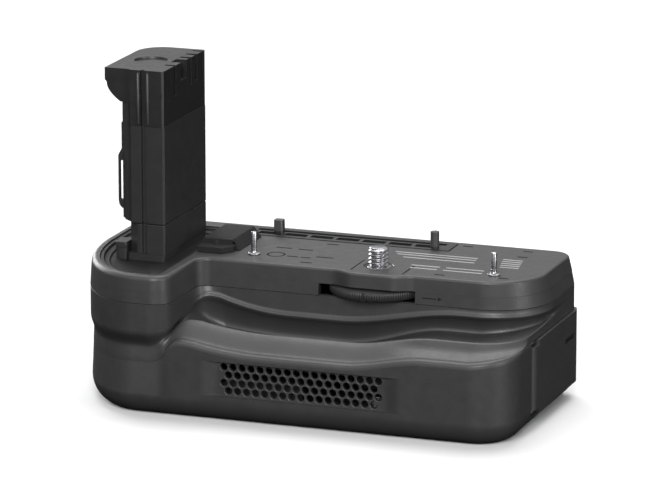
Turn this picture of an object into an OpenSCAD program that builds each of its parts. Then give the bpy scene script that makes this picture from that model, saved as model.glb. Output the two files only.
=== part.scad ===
/* [Body] */
// Overall width, end door included
body_w = 150.4; // [147:0.1:158]
// Overall depth of the casing
body_d = 76; // [75:0.5:82]
// Height of the casing up to its top plate
body_h = 46; // [45:0.5:50]
// Wall thickness of both shells
wall = 2.2; // [1.8:0.1:2.4]
// Thickness of the top plate
top_t = 2.6; // [2.2:0.1:3]
// Thickness of the floor
floor_t = 2.4; // [2:0.1:2.8]
// Height of the joint line between the shells
parting_z = 37.1; // [36.8:0.1:37.6]
// Rounding of the bottom edge
bottom_r = 7.6; // [7:0.1:8.2]

/* [Grip column] */
// Width of the grip column
column_w = 37.9; // [37:0.1:40]
// Sweep of the column's outer front corner, sideways
column_sweep = 26.6; // [22:0.1:28]
// Sweep of the column's outer front corner, front to back
column_reach = 44; // [38:0.5:48]
// Rounding of the column's inner front corner
column_edge_r = 6; // [4:0.5:7]
// How far the column stands in front of the lower casing
column_step = 1.6; // [0.8:0.1:2.4]
// Height at which the column steps in
column_edge_z = 26.5; // [25:0.5:28]

/* [Front recess and shelf] */
// Depth of the recess behind the column's front
recess_depth = 28.7; // [27.5:0.1:29.2]
// Rounding where the column meets the recess
recess_r = 4; // [3:0.5:5]
// How far the channel cuts in under the recess
groove_depth = 3; // [2:0.1:3.2]
// How far the lip at the foot of the recess stands out
lip_out = 0.6; // [0.3:0.1:0.9]
// Height of the lip at its left end
edge_left_z = 34.6; // [34:0.1:35]
// Height of the lip at its lowest point
edge_low_z = 29.5; // [29:0.1:30]
// Height of the lip at its right end
edge_right_z = 34.6; // [34.2:0.1:35]
// Height of the channel's floor at its left end
valley_left_z = 26; // [25.6:0.1:26.4]
// Height of the channel's floor at its lowest point
valley_low_z = 22.9; // [22.4:0.1:23.2]
// Height of the channel's floor at its right end
valley_right_z = 26.4; // [26:0.1:26.8]
// Height of the shelf's ridge at its left end
ridge_left_z = 28.8; // [28.4:0.1:29.2]
// Height of the shelf's ridge at its lowest point
ridge_low_z = 24.6; // [24.4:0.1:25]
// Height of the shelf's ridge at its right end
ridge_right_z = 31.8; // [31.4:0.1:32]
// Height of the front edge at its left end
shelf_left_z = 27.2; // [26.8:0.1:27.6]
// Height of the front edge at its lowest point
shelf_low_z = 23.5; // [23:0.1:24]
// Height of the front edge at its right end
shelf_right_z = 28.4; // [28:0.1:28.8]
// Rounding of the upper right front corner
upper_corner_r = 19; // [15:0.5:20]
// Rounding of the lower right front corner
lower_corner_r = 14; // [11:0.5:17]
// Rounding of the back right corner
back_right_r = 8; // [7.6:0.1:9]
// Rounding of the back left corner
back_left_r = 10; // [8.6:0.1:14]

/* [Lock wheel and screw] */
// Distance of the screw axis from the right end
screw_from_right = 54.7; // [54:0.1:55.4]
// Distance of the screw axis behind the recess face
screw_behind_recess = 9.2; // [8.8:0.1:9.6]
// Radius of the tripod screw, a quarter inch across
screw_r = 3.175; // [3.175:0.005:3.2]
// How far the tripod screw stands above the top plate
screw_reach = 6.1; // [4.5:0.1:7]
// Radius of the thumb wheel
wheel_r = 15.5; // [15:0.1:15.8]
// Thickness of the thumb wheel
wheel_t = 2.8; // [2.4:0.1:3.2]
// Ribs round the thumb wheel
wheel_ribs = 72; // [48:1:80]
// Width of the slot in front of the wheel
slot_w = 32; // [31:0.1:34]
// How far the bump over the wheel stands out
bump_depth = 2.6; // [1.5:0.1:3.4]
// Width of the bump over the wheel
bump_w = 27; // [24:0.5:30]

/* [Locating pins] */
// Distance between the locating pins
pin_spacing = 79.8; // [78:0.1:82]
// Distance of the left pin from the column wall
pin_from_column = 14.9; // [14:0.1:16]
// Distance of the pins behind the recess face
pin_behind_recess = 9.9; // [9:0.1:11]
// Radius of a locating pin
pin_r = 0.95; // [0.8:0.05:1.2]
// Height of a locating pin above the plate
pin_reach = 7.4; // [6:0.1:8]

/* [Insert] */
// Depth of the insert, front to back
insert_d = 36.7; // [35:0.1:38]
// Thickness of the insert's cap
cap_w = 20.1; // [19:0.1:21]
// Thickness of the insert's column
insert_w = 14.8; // [14:0.1:15.6]
// Thickness of the insert's foot
foot_w = 12.9; // [12.4:0.1:13.4]
// Height of the foot section
foot_h = 10; // [9:0.1:11]
// Height of the column section
insert_h = 31.6; // [30:0.1:34]
// Height of the cap section
cap_h = 17.9; // [16:0.1:19]
// Distance of the insert's right face from the column wall
insert_from_wall = 10.7; // [10:0.1:11.4]
// Distance of the insert's front behind the column's front
insert_from_front = 26.5; // [25:0.1:28]

/* [Air path] */
// Width of the intake grille
grille_w = 54.6; // [48:0.1:58]
// Height of the intake grille
grille_h = 11.2; // [10:0.1:11.6]
// Diameter of a hole in the grille
grille_hole = 2.35; // [1.8:0.05:2.4]
// Pitch of the holes along a row
grille_pitch = 3; // [2.8:0.05:3.2]
// Length of the outlet strip
strip_w = 70; // [66:0.5:72]
// Depth of the outlet strip
strip_d = 10.2; // [9:0.1:10.6]
// Slots in the outlet strip
strip_slots = 7; // [5:1:8]
// Side of the square blower casing
fan_side = 40; // [38:0.5:41]
// Height of the blower casing
fan_h = 11; // [10:0.5:12]
// Blades of the blower wheel
fan_blades = 17; // [11:1:21]

/* [Battery] */
// Length of the battery pack
battery_l = 56; // [54:0.1:56.5]
// Width of the battery pack
battery_w = 37.6; // [36:0.1:37.8]
// Thickness of the battery pack
battery_t = 20.6; // [19:0.1:20.8]
// How far the end door stands proud of the casing
door_proud = 0.9; // [0.5:0.1:1]
// Thickness of the end door
door_t = 2.6; // [2.2:0.1:2.8]
// Length of the latch slot in the door
latch_slot_l = 11.8; // [11:0.1:13]
// Height of the latch slot in the door
latch_slot_h = 2; // [1.8:0.1:2.4]

/* [Clearances] */
// Gap between moving pieces and their neighbours
run_gap = 0.3; // [0.25:0.05:0.4]
// Radial gap between a shaft and its bore
shaft_gap = 0.05; // [0.03:0.01:0.08]
// Gap round a piece that is set into an opening
seat_gap = 0.1; // [0.05:0.05:0.15]

/* [Hidden] */
$fn = 48;
eps = 0.5;

// Colours
shell_grey = [0.16, 0.16, 0.17];
black = [0.07, 0.07, 0.075];
dark_grey = [0.12, 0.12, 0.125];
steel = [0.75, 0.75, 0.76];
board_green = [0.1, 0.3, 0.16];
gold = [0.8, 0.65, 0.3];

// Main planes of the casing
x_left = -body_w / 2;
x_right = body_w / 2 - door_proud;
y_front = -body_d / 2;
y_back = body_d / 2;
top_z = body_h;
under_z = body_h - top_t;
wall_x = x_left + column_w;
recess_y = y_front + recess_depth;
shelf_y = y_front + column_step;
side_step = 0.3;

// Screw, wheel and pins
screw_x = x_right - screw_from_right;
screw_y = recess_y + screw_behind_recess;
wheel_z = parting_z + 0.8;
slot_top_z = wheel_z + wheel_t + run_gap;
slot_x = screw_x - 0.8;
bump_x = screw_x + 1.4;
pin_left_x = wall_x + pin_from_column;
pin_y = recess_y + pin_behind_recess;

// Points along each stretch of the plan outline
n_left = 4;
n_curve = 12;
n_short = 3;
n_edge = 5;
n_wall = 5;
n_recess = 30;
n_corner = 8;
n_back = 8;

function along(a, b, n) = [for (k = [0 : n - 1]) a + (b - a) * k / n];
function arc(c, r, a0, a1, n) =
    [for (k = [0 : n - 1]) let (a = a0 + (a1 - a0) * k / n) c + r * [cos(a), sin(a)]];
function sweep(c, rx, ry, n) = [for (k = [0 : n - 1]) let (a = 180 + 90 * k / n)
    c + [rx * cos(a), ry * sin(a)]];
function ease(t) = let (u = min(max(t, 0), 1)) u * u * (3 - 2 * u);

// Plan of the upper casing, round from the left side
upper_plan = concat(
    along([x_left, y_back - back_left_r], [x_left, y_front + column_reach], n_left),
    sweep([x_left + column_sweep, y_front + column_reach], column_sweep, column_reach, n_curve),
    along([x_left + column_sweep, y_front], [wall_x - column_edge_r, y_front], n_short),
    arc([wall_x - column_edge_r, y_front + column_edge_r], column_edge_r, 270, 360, n_edge),
    along([wall_x, y_front + column_edge_r], [wall_x, recess_y - recess_r], n_wall),
    arc([wall_x + recess_r, recess_y - recess_r], recess_r, 180, 90, n_edge),
    along([wall_x + recess_r, recess_y], [x_right - upper_corner_r, recess_y], n_recess),
    arc([x_right - upper_corner_r, recess_y + upper_corner_r], upper_corner_r, 270, 360, n_corner),
    along([x_right, recess_y + upper_corner_r], [x_right, y_back - back_right_r], n_short),
    arc([x_right - back_right_r, y_back - back_right_r], back_right_r, 0, 90, n_edge),
    along([x_right - back_right_r, y_back], [x_left + back_left_r, y_back], n_back),
    arc([x_left + back_left_r, y_back - back_left_r], back_left_r, 90, 180, n_edge));

// Plan of the lower casing, point for point with the upper one
low_left = x_left + side_step;
low_sweep = column_sweep - column_step;
low_reach = column_reach - column_step;
lower_plan = concat(
    along([low_left, y_back - back_left_r], [low_left, shelf_y + low_reach], n_left),
    sweep([low_left + low_sweep, shelf_y + low_reach], low_sweep, low_reach, n_curve),
    along([low_left + low_sweep, shelf_y], [wall_x - column_edge_r, shelf_y], n_short),
    along([wall_x - column_edge_r, shelf_y], [wall_x - column_edge_r / 2, shelf_y], n_edge),
    along([wall_x - column_edge_r / 2, shelf_y], [wall_x + recess_r / 4, shelf_y], n_wall),
    along([wall_x + recess_r / 4, shelf_y], [wall_x + recess_r, shelf_y], n_edge),
    along([wall_x + recess_r, shelf_y], [x_right - lower_corner_r, shelf_y], n_recess),
    arc([x_right - lower_corner_r, shelf_y + lower_corner_r], lower_corner_r, 270, 360, n_corner),
    along([x_right, shelf_y + lower_corner_r], [x_right, y_back - back_right_r], n_short),
    arc([x_right - back_right_r, y_back - back_right_r], back_right_r, 0, 90, n_edge),
    along([x_right - back_right_r, y_back], [low_left + back_left_r, y_back], n_back),
    arc([low_left + back_left_r, y_back - back_left_r], back_left_r, 90, 180, n_edge));

// A value for each stretch of the outline, ramped from a to b
function stretches(v) = let (n = [n_left, n_curve, n_short, n_edge, n_wall, n_edge, n_recess,
        n_corner, n_short, n_edge, n_back, n_edge])
    [for (s = [0 : len(n) - 1]) for (k = [0 : n[s] - 1]) v[s][0] + (v[s][1] - v[s][0]) * k / n[s]];

// Wave of an edge that falls, runs low and rises, as shares of the recess length
function wave(t, fall, rise_from, rise_to, left, low, right) = t < fall
    ? low + (left - low) * pow(1 - t / fall, 2)
    : low + (right - low) * ease((t - rise_from) / (rise_to - rise_from));
first_recess = n_left + n_curve + n_short + n_edge + n_wall + n_edge;
function recess_share(i) = (i - first_recess) / n_recess;
function in_recess(i) = i >= first_recess && i < first_recess + n_recess;

side_edge_z = column_edge_z + 0.5;
side_drop = 2.8;
column_shelf_z = column_edge_z - 7;
side_shelf_z = side_edge_z - 6.5;
corner_edge_z = column_edge_z + 1;
corner_shelf_z = column_shelf_z + 1.5;
wall_foot_z = edge_left_z - 2.4;
wall_valley_z = wall_foot_z - 1.2;
wall_shelf_z = shelf_left_z - 1;
right_edge_z = ridge_right_z + 1.6;
right_valley_z = right_edge_z - 1;
right_shelf_z = right_edge_z - 2.8;
ridge_rise = 0.5;
side_ridge_z = side_shelf_z + ridge_rise;
column_ridge_z = column_shelf_z + ridge_rise;
edge_ramp = stretches([[side_edge_z, column_edge_z], [column_edge_z, column_edge_z],
    [column_edge_z, column_edge_z], [column_edge_z, corner_edge_z],
    [corner_edge_z, wall_foot_z], [wall_foot_z, edge_left_z], [edge_left_z, edge_right_z],
    [edge_right_z, right_edge_z], [right_edge_z, right_edge_z], [right_edge_z, right_edge_z],
    [right_edge_z, side_edge_z], [side_edge_z, side_edge_z]]);
valley_ramp = stretches([[side_edge_z - side_drop, column_edge_z - side_drop],
    [column_edge_z - side_drop, column_edge_z - side_drop],
    [column_edge_z - side_drop, column_edge_z - side_drop],
    [column_edge_z - side_drop, corner_edge_z - 2], [corner_edge_z - 2, wall_valley_z],
    [wall_valley_z, valley_left_z], [valley_left_z, valley_right_z],
    [valley_right_z, right_valley_z], [right_valley_z, right_valley_z],
    [right_valley_z, right_valley_z], [right_valley_z, side_edge_z - side_drop],
    [side_edge_z - side_drop, side_edge_z - side_drop]]);
ridge_ramp = stretches([[side_ridge_z, column_ridge_z], [column_ridge_z, column_ridge_z],
    [column_ridge_z, column_ridge_z], [column_ridge_z, corner_shelf_z + ridge_rise],
    [corner_shelf_z + ridge_rise, ridge_left_z - 1], [ridge_left_z - 1, ridge_left_z],
    [ridge_left_z, ridge_right_z], [ridge_right_z, right_shelf_z + ridge_rise],
    [right_shelf_z + ridge_rise, right_shelf_z + ridge_rise],
    [right_shelf_z + ridge_rise, right_shelf_z + ridge_rise],
    [right_shelf_z + ridge_rise, side_ridge_z], [side_ridge_z, side_ridge_z]]);
shelf_ramp = stretches([[side_shelf_z, column_shelf_z], [column_shelf_z, column_shelf_z],
    [column_shelf_z, column_shelf_z], [column_shelf_z, corner_shelf_z],
    [corner_shelf_z, wall_shelf_z], [wall_shelf_z, shelf_left_z], [shelf_left_z, shelf_right_z],
    [shelf_right_z, right_shelf_z], [right_shelf_z, right_shelf_z],
    [right_shelf_z, right_shelf_z], [right_shelf_z, side_shelf_z], [side_shelf_z, side_shelf_z]]);
groove = stretches([[0, 0], [0, 0], [0, 0], [0, 0], [0, 0], [0, groove_depth],
    [groove_depth, groove_depth], [groove_depth, 0], [0, 0], [0, 0], [0, 0], [0, 0]]);
step_in = stretches([[0, 0], [0, 0], [0, 0], [0, 0], [0, 1], [1, 1], [1, 1], [1, 0], [0, 0],
    [0, 0], [0, 0], [0, 0]]);
lip = stretches([[0, 0], [0, 0], [0, 0], [0, 0], [0, 0], [0, lip_out], [lip_out, lip_out],
    [lip_out, 0], [0, 0], [0, 0], [0, 0], [0, 0]]);
left_draft = 0.8;
front_draft = 0.8;
right_draft = 2;
back_draft = 0.6;
recess_draft = 0.3;
draft = stretches([[left_draft, left_draft], [left_draft, front_draft], [front_draft, front_draft],
    [front_draft, front_draft], [front_draft, recess_draft], [recess_draft, recess_draft],
    [recess_draft, recess_draft], [recess_draft, right_draft], [right_draft, right_draft],
    [right_draft, back_draft], [back_draft, back_draft], [back_draft, left_draft]]);
column_round = 3;
plate_round = 0.9;
rim_round = stretches([[column_round, column_round], [column_round, column_round],
    [column_round, column_round], [column_round, column_round], [column_round, plate_round],
    [plate_round, plate_round], [plate_round, plate_round], [plate_round, plate_round],
    [plate_round, plate_round], [plate_round, plate_round], [plate_round, plate_round],
    [plate_round, column_round]]);

function edge_z(i) = in_recess(i)
    ? wave(recess_share(i), 0.305, 0.489, 0.94, edge_left_z, edge_low_z, edge_right_z) : edge_ramp[i];
function valley_z(i) = in_recess(i)
    ? wave(recess_share(i), 0.3, 0.5, 0.82, valley_left_z, valley_low_z, valley_right_z) : valley_ramp[i];
function ridge_z(i) = in_recess(i)
    ? wave(recess_share(i), 0.297, 0.613, 0.923, ridge_left_z, ridge_low_z, ridge_right_z) : ridge_ramp[i];
function shelf_z(i) = in_recess(i)
    ? wave(recess_share(i), 0.297, 0.613, 0.889, shelf_left_z, shelf_low_z, shelf_right_z) : shelf_ramp[i];
bump_flank = 7;
function bump(i) = in_recess(i)
    ? bump_depth * ease((bump_w / 2 - abs(upper_plan[i].x - bump_x)) / bump_flank) : 0;

// Points of a plan outline moved inwards
points = len(upper_plan);
function inward(plan, i) = let (
        a = plan[(i + points - 1) % points],
        b = plan[(i + 1) % points],
        t = (b - a) / norm(b - a))
    [-t.y, t.x];
upper_in = [for (i = [0 : points - 1]) inward(upper_plan, i)];
lower_in = [for (i = [0 : points - 1]) inward(lower_plan, i)];
function upper_at(i, s, z) = let (p = upper_plan[i] + s * upper_in[i]) [p.x, p.y, z];
function lower_at(i, s, z) = let (p = lower_plan[i] + s * lower_in[i]) [p.x, p.y, z];
function between(i, t, z) = let (
        a = upper_plan[i] + groove[i] * upper_in[i],
        p = a + (lower_plan[i] - a) * t)
    [p.x, p.y, z];
function draft_at(i, z) = draft[i] * (z - parting_z) / (top_z - parting_z);

// Closed skin through a stack of rings that have the same number of points
module skin(rings) {
    n = len(rings[0]);
    last = len(rings) - 1;
    sides = [for (k = [0 : last - 1]) for (i = [0 : n - 1]) let (
            a = k * n + i,
            b = k * n + (i + 1) % n)
        each [[a, b, b + n], [a, b + n, a + n]]];
    caps = [[for (i = [n - 1 : -1 : 0]) i], [for (i = [0 : n - 1]) last * n + i]];
    polyhedron(points = [for (r = rings) each r], faces = concat(sides, caps));
}

seam = 0.3;
inner_slope = 0.6;
every = [0 : points - 1];
module upper_skin() {
    skin([
        [for (i = every) upper_at(i, draft[i] + rim_round[i] - bump(i), top_z)],
        [for (i = every) upper_at(i, draft[i] + 0.29 * rim_round[i] - bump(i), top_z - 0.29 * rim_round[i])],
        [for (i = every) upper_at(i, draft[i] - bump(i), top_z - rim_round[i])],
        [for (i = every) upper_at(i, draft_at(i, slot_top_z) - bump(i), slot_top_z + 0.1)],
        [for (i = every) upper_at(i, draft_at(i, slot_top_z), slot_top_z)],
        [for (i = every) upper_at(i, 0, parting_z + seam)],
        [for (i = every) upper_at(i, seam, parting_z)],
        [for (i = every) upper_at(i, wall, parting_z)],
        [for (i = every) upper_at(i, wall + draft[i] + inner_slope, under_z)]
    ]);
}

shelf_round = 2;
function drop(i) = edge_z(i) - valley_z(i);
function slope_z(i, t) = valley_z(i) + (ridge_z(i) - valley_z(i)) * t;
module lower_skin() {
    skin([
        [for (i = every) lower_at(i, wall + 3, floor_t)],
        [for (i = every) lower_at(i, wall + 0.9, floor_t + 1.8)],
        [for (i = every) lower_at(i, wall, bottom_r)],
        [for (i = every) lower_at(i, wall, shelf_z(i) - 2 * wall)],
        [for (i = every) upper_at(i, wall + groove[i], valley_z(i) - wall)],
        [for (i = every) upper_at(i, wall + groove[i], valley_z(i) + 0.5 * drop(i))],
        [for (i = every) upper_at(i, wall, edge_z(i) + 1)],
        [for (i = every) upper_at(i, wall, parting_z)],
        [for (i = every) upper_at(i, seam, parting_z)],
        [for (i = every) upper_at(i, 0, parting_z - seam)],
        [for (i = every) upper_at(i, 0, edge_z(i) + 1.7)],
        [for (i = every) upper_at(i, -lip[i], edge_z(i) + 0.5)],
        [for (i = every) upper_at(i, 0.2 * groove[i] - 0.8 * lip[i], edge_z(i) - 0.1 * drop(i))],
        [for (i = every) upper_at(i, 0.8 * groove[i], edge_z(i) - 0.5 * drop(i))],
        [for (i = every) upper_at(i, groove[i], valley_z(i) + 0.2 * drop(i))],
        [for (i = every) between(i, 0.08, slope_z(i, 0.02))],
        [for (i = every) between(i, 0.45, slope_z(i, 0.3))],
        [for (i = every) between(i, 0.8, slope_z(i, 0.86))],
        [for (i = every) between(i, 0.9, ridge_z(i))],
        [for (i = every) between(i, 0.94, shelf_z(i) * 0.9 + ridge_z(i) * 0.1)],
        [for (i = every) lower_at(i, 0.3 * shelf_round * step_in[i], shelf_z(i) - 0.3 * shelf_round)],
        [for (i = every) lower_at(i, 0, shelf_z(i) - 1.3 * shelf_round)],
        for (a = [0 : 22.5 : 90])
            [for (i = every) lower_at(i, bottom_r * (1 - cos(a)), bottom_r * (1 - sin(a)))]
    ]);
}

// Intake grille in the lower front
grille_x = wall_x + 43.6;
grille_z = 14.6;
grille_rows = 4;
grille_rim = 0.6;
grille_holes = floor((grille_w - 2 * grille_rim - grille_hole) / grille_pitch) + 1;
grille_step = (grille_h - 2 * grille_rim - grille_hole) / (grille_rows - 1);
grille_t = 1.6;
grille_sink = 1.2;
grille_flare = 4.6;
grille_y = shelf_y + grille_sink;

// Outlet strip at the back of the top plate
strip_x = wall_x + 1.8;
strip_back = 3.4;
strip_y = y_back - strip_back - strip_d;
strip_lip = 1.4;
strip_lip_t = 1.2;

// End door and its hinge
door_low_z = bottom_r - 2.2;
battery_floor_z = door_low_z + 0.4;
door_top_z = battery_floor_z + battery_t + 2.4;
door_back_y = y_back - 3.4;
hinge_r = 1.9;
hinge_x = x_right - door_t + door_proud - 0.1;
battery_y = y_back - wall - 1.6 - battery_w;
hinge_y = battery_y - 6.4;
hinge_pin_r = 0.8;
barrel_r = x_right + door_proud - hinge_x;
opening_front_y = hinge_y - barrel_r - 2 * run_gap;

// Insert on the grip column
insert_x = wall_x - insert_from_wall;
insert_y = y_front + insert_from_front;
cable_w = 8;
cable_t = 0.4;
cable_x = insert_x - 6.8;
cable_y = insert_y + 13.5;
channel_gap = 1.5;

// Posts from the floor up: column back, column front, and one beside the tray
post_r = 2.6;
post_bore = 1.1;
post_gap = 4.6;
screw_head_r = 2.3;
screw_head_t = 1.2;
socket_r = 5.5;
socket_bore = 2.6;

module rounded_rect(size, r) {
    translate([r, 0]) square([size.x - 2 * r, size.y]);
    translate([0, r]) square([size.x, size.y - 2 * r]);
    for (x = [r, size.x - r], y = [r, size.y - r])
        translate([x, y]) circle(r);
}

module upper_shell() {
    color(shell_grey) difference() {
        upper_skin();
        translate([screw_x, screw_y, parting_z - eps]) cylinder(r = bush_r, h = body_h);
        for (k = [0, 1])
            translate([pin_left_x + k * pin_spacing, pin_y, under_z - eps])
                cylinder(r = pin_r, h = top_t + 2 * eps);
        translate([strip_x, strip_y, under_z - eps]) cube([strip_w, strip_d, top_t + 2 * eps]);
        translate([cable_x - channel_gap, cable_y - channel_gap, under_z - eps])
            cube([cable_t + 2 * channel_gap, cable_w + 2 * channel_gap, top_t + 2 * eps]);
        translate([slot_x - slot_w / 2, recess_y - bump_depth - eps, parting_z - eps])
            cube([slot_w, bump_depth + wall + recess_draft + inner_slope + 2 * eps,
                slot_top_z - parting_z + eps]);
    }
}

module lower_shell() {
    color(shell_grey) difference() {
        lower_skin();
        translate([grille_x, shelf_y, grille_z]) grille_pocket();
        translate([grille_x - grille_w / 2, shelf_y - eps, grille_z - grille_h / 2])
            cube([grille_w, wall + 2 * eps + grille_sink, grille_h]);
        translate([x_right - back_right_r, opening_front_y, door_low_z - run_gap])
            cube([back_right_r + eps, door_back_y + run_gap - opening_front_y,
                door_top_z - door_low_z + 2 * run_gap]);
        translate([screw_x, screw_y, -eps]) cylinder(r = socket_r, h = floor_t + 2 * eps);
        for (p = post_spots)
            translate([p.x, p.y, -eps]) {
                cylinder(r = screw_head_r + seat_gap, h = screw_head_t + eps + 0.4);
                cylinder(r = post_bore, h = floor_t + 2 * eps);
            }
    }
}

// Shallow pocket round the grille, with ends that run out to the surface
module grille_pocket() {
    half = grille_w / 2;
    translate([0, 0, -grille_h / 2]) linear_extrude(grille_h)
        polygon([[-half - grille_flare, -eps], [-half - grille_flare, 0], [-half, grille_sink],
            [half, grille_sink], [half + grille_flare, 0], [half + grille_flare, -eps]]);
}

module vent_grille() {
    color(dark_grey) translate([grille_x, grille_y, grille_z]) difference() {
        translate([-grille_w / 2 + seat_gap, 0, -grille_h / 2 + seat_gap])
            cube([grille_w - 2 * seat_gap, grille_t, grille_h - 2 * seat_gap]);
        for (row = [0 : grille_rows - 1]) {
            count = grille_holes - row % 2;
            for (k = [0 : count - 1])
                translate([(k - (count - 1) / 2) * grille_pitch, -eps,
                    ((grille_rows - 1) / 2 - row) * grille_step])
                    rotate([-90, 0, 0]) cylinder(d = grille_hole, h = grille_t + 2 * eps, $fn = 24);
        }
    }
}

// Battery, tray and board in the right half
tray_t = 1;
tray_back_t = 0.9;
bay_end = 5.4;
board_over = 3;
contact_l = 0.8;
tray_x = x_right - bay_end - battery_l - contact_l - tray_t;
battery_x = tray_x + tray_t + contact_l;
board_z = battery_floor_z + battery_t + board_over;
board_t = 1.6;
tray_back_y = battery_y + battery_w + seat_gap;

// Blower on the floor behind the grille
fan_to_tray = 5.7;
fan_x = tray_x - fan_to_tray - fan_side;
fan_y = shelf_y + wall + 3.2;
fan_wall = 1.2;
fan_axis = [fan_x + fan_side / 2, fan_y + fan_side / 2];
fan_r = fan_side / 2 - fan_wall - 0.8;
rotor_r = fan_r - 1.2;
rotor_hub_r = 8;
rotor_low_z = floor_t + fan_wall + 0.9;
rotor_top_z = floor_t + fan_h - fan_wall - 0.6;
shaft_r = 1;
bearing_r = 2.4;
stator_r = 6.3;
inlet_r = 12;
outlet_w = fan_side / 2;

module fan_housing() {
    color(black) translate([fan_axis.x, fan_axis.y, floor_t]) difference() {
        translate([-fan_side / 2, -fan_side / 2, 0]) cube([fan_side, fan_side, fan_h]);
        translate([0, 0, fan_wall]) cylinder(r = fan_r, h = fan_h - 2 * fan_wall);
        translate([0, 0, fan_wall]) cylinder(r = inlet_r, h = fan_h);
        translate([-fan_r, 0, fan_wall]) cube([outlet_w, fan_side / 2 + eps, fan_h - 2 * fan_wall]);
    }
}

module fan_bearing() {
    color(steel) translate([fan_axis.x, fan_axis.y, floor_t + fan_wall]) difference() {
        cylinder(r = bearing_r, h = rotor_top_z - rotor_low_z - 1);
        translate([0, 0, -eps]) cylinder(r = shaft_r + shaft_gap, h = fan_h);
    }
}

module fan_stator() {
    color(gold) translate([fan_axis.x, fan_axis.y, rotor_low_z]) difference() {
        cylinder(r = stator_r, h = rotor_top_z - rotor_low_z - 2.4);
        translate([0, 0, -eps]) cylinder(r = bearing_r, h = fan_h);
    }
}

module fan_rotor() {
    blade_in = 10.5;
    disc_t = 0.8;
    h = rotor_top_z - rotor_low_z;
    color(dark_grey) translate([fan_axis.x, fan_axis.y, rotor_low_z]) {
        difference() {
            cylinder(r = rotor_hub_r, h = h);
            translate([0, 0, -eps]) cylinder(r = stator_r + 0.6, h = h - disc_t - 0.4 + eps);
            cylinder(r = shaft_r, h = h + eps);
        }
        difference() {
            cylinder(r = rotor_r, h = disc_t);
            translate([0, 0, -eps]) cylinder(r = rotor_hub_r - 0.5, h = 2 * disc_t);
        }
        for (k = [0 : fan_blades - 1])
            rotate(k * 360 / fan_blades) translate([blade_in, 0, disc_t / 2]) rotate(32)
                cube([(rotor_r - blade_in) * 0.98, 0.8, h - disc_t / 2]);
    }
}

module fan_shaft() {
    color(steel) translate([fan_axis.x, fan_axis.y, floor_t + fan_wall + run_gap])
        cylinder(r = shaft_r, h = rotor_top_z - floor_t - fan_wall - run_gap);
}

// Duct from the blower's outlet up to the outlet strip
duct_wall = 1.2;
duct_x = fan_axis.x - fan_r - duct_wall;
duct_w = outlet_w + 2 * duct_wall;
duct_front_y = fan_y + fan_side;
duct_back_y = y_back - wall - back_draft - 1;
duct_top_z = under_z - strip_lip_t;
plenum_front_y = strip_y - strip_lip + 0.2;
plenum_low_z = duct_top_z - 8.4;
plenum_end_x = strip_x + strip_w;

module duct_profile(t) {
    polygon([[duct_front_y - (t > 0 ? eps : 0), floor_t + t], [duct_back_y - 5, floor_t + t],
        [duct_back_y - t, bottom_r + t], [duct_back_y - t, duct_top_z + (t > 0 ? eps : 0)],
        [plenum_front_y + t, duct_top_z + (t > 0 ? eps : 0)],
        [plenum_front_y + t, floor_t + fan_h - t], [duct_front_y - (t > 0 ? eps : 0), floor_t + fan_h - t]]);
}

// Turns a profile drawn as depth and height into a bar along X
module bar_along_x(x, w) {
    translate([x, 0, 0]) rotate([90, 0, 90]) linear_extrude(w) children();
}

module plenum(t, low, high) {
    translate([duct_x + t, plenum_front_y + t, low])
        cube([plenum_end_x - duct_x - 2 * t, duct_back_y - plenum_front_y - 2 * t, high - low]);
}

module air_duct() {
    color(black) difference() {
        union() {
            bar_along_x(duct_x, duct_w) duct_profile(0);
            plenum(0, plenum_low_z, duct_top_z);
        }
        bar_along_x(duct_x + duct_wall, duct_w - 2 * duct_wall) duct_profile(duct_wall);
        plenum(duct_wall, plenum_low_z + duct_wall, duct_top_z + eps);
    }
}

dowel_r = 1.4;
dowel_h = 5.5;
module duct_frame() {
    slot_pitch = (strip_w - 8) / strip_slots;
    slot_rib = 1.3;
    slot_d = 3.2;
    proud = 0.2;
    color(black) translate([strip_x, strip_y, 0]) {
        difference() {
            union() {
                translate([seat_gap, seat_gap, under_z])
                    cube([strip_w - 2 * seat_gap, strip_d - 2 * seat_gap, top_t + proud]);
                translate([-strip_lip, -strip_lip, duct_top_z])
                    cube([strip_w + 2 * strip_lip, duct_back_y - strip_y + strip_lip, strip_lip_t]);
            }
            for (k = [0 : strip_slots - 1])
                translate([4 + k * slot_pitch + slot_rib / 2, 2, duct_top_z - eps])
                    cube([slot_pitch - slot_rib, slot_d, body_h]);
            translate([3, 6.2, top_z - 0.8]) cube([strip_w - 6, 2.2, 2]);
        }
        translate([strip_w - 5.2, 1.9, top_z]) cylinder(r = dowel_r, h = dowel_h + proud);
        translate([9.4, 3.4, top_z - 1]) linear_extrude(dowel_h)
            rounded_rect([3.1, 3.1], 0.8);
    }
}

// Insert: foot, column and cap, with a flute down the front
flute_x = -6.3;
flute_w = 1.6;
flute_d = 1;
seam_gap = 0.25;
foot_z = top_z;
column_z = foot_z + foot_h;
cap_z = column_z + insert_h;

module cable_channel(z, h) {
    translate([cable_x - channel_gap, cable_y - channel_gap, z - eps])
        cube([cable_t + 2 * channel_gap, cable_w + 2 * channel_gap, h + 2 * eps]);
}

// Plan of the insert: a rounded bar with the flute and a set-back left edge
module insert_plan(w) {
    edge = 0.6;
    step = 3.4;
    polygon([[-w, step], [-w + step, step * 0.15], [-w + step, 0], [flute_x - flute_w, 0],
        [flute_x - flute_w + 0.3, flute_d], [flute_x - 0.3, flute_d], [flute_x, 0], [-edge, 0], [0, edge],
        [0, insert_d - edge], [-edge, insert_d], [-w + 2.5, insert_d], [-w, insert_d - 2.5]]);
}

module insert_base() {
    color(dark_grey) difference() {
        translate([insert_x, insert_y, foot_z]) linear_extrude(foot_h - seam_gap) insert_plan(foot_w);
        cable_channel(foot_z, foot_h);
    }
}

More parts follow.
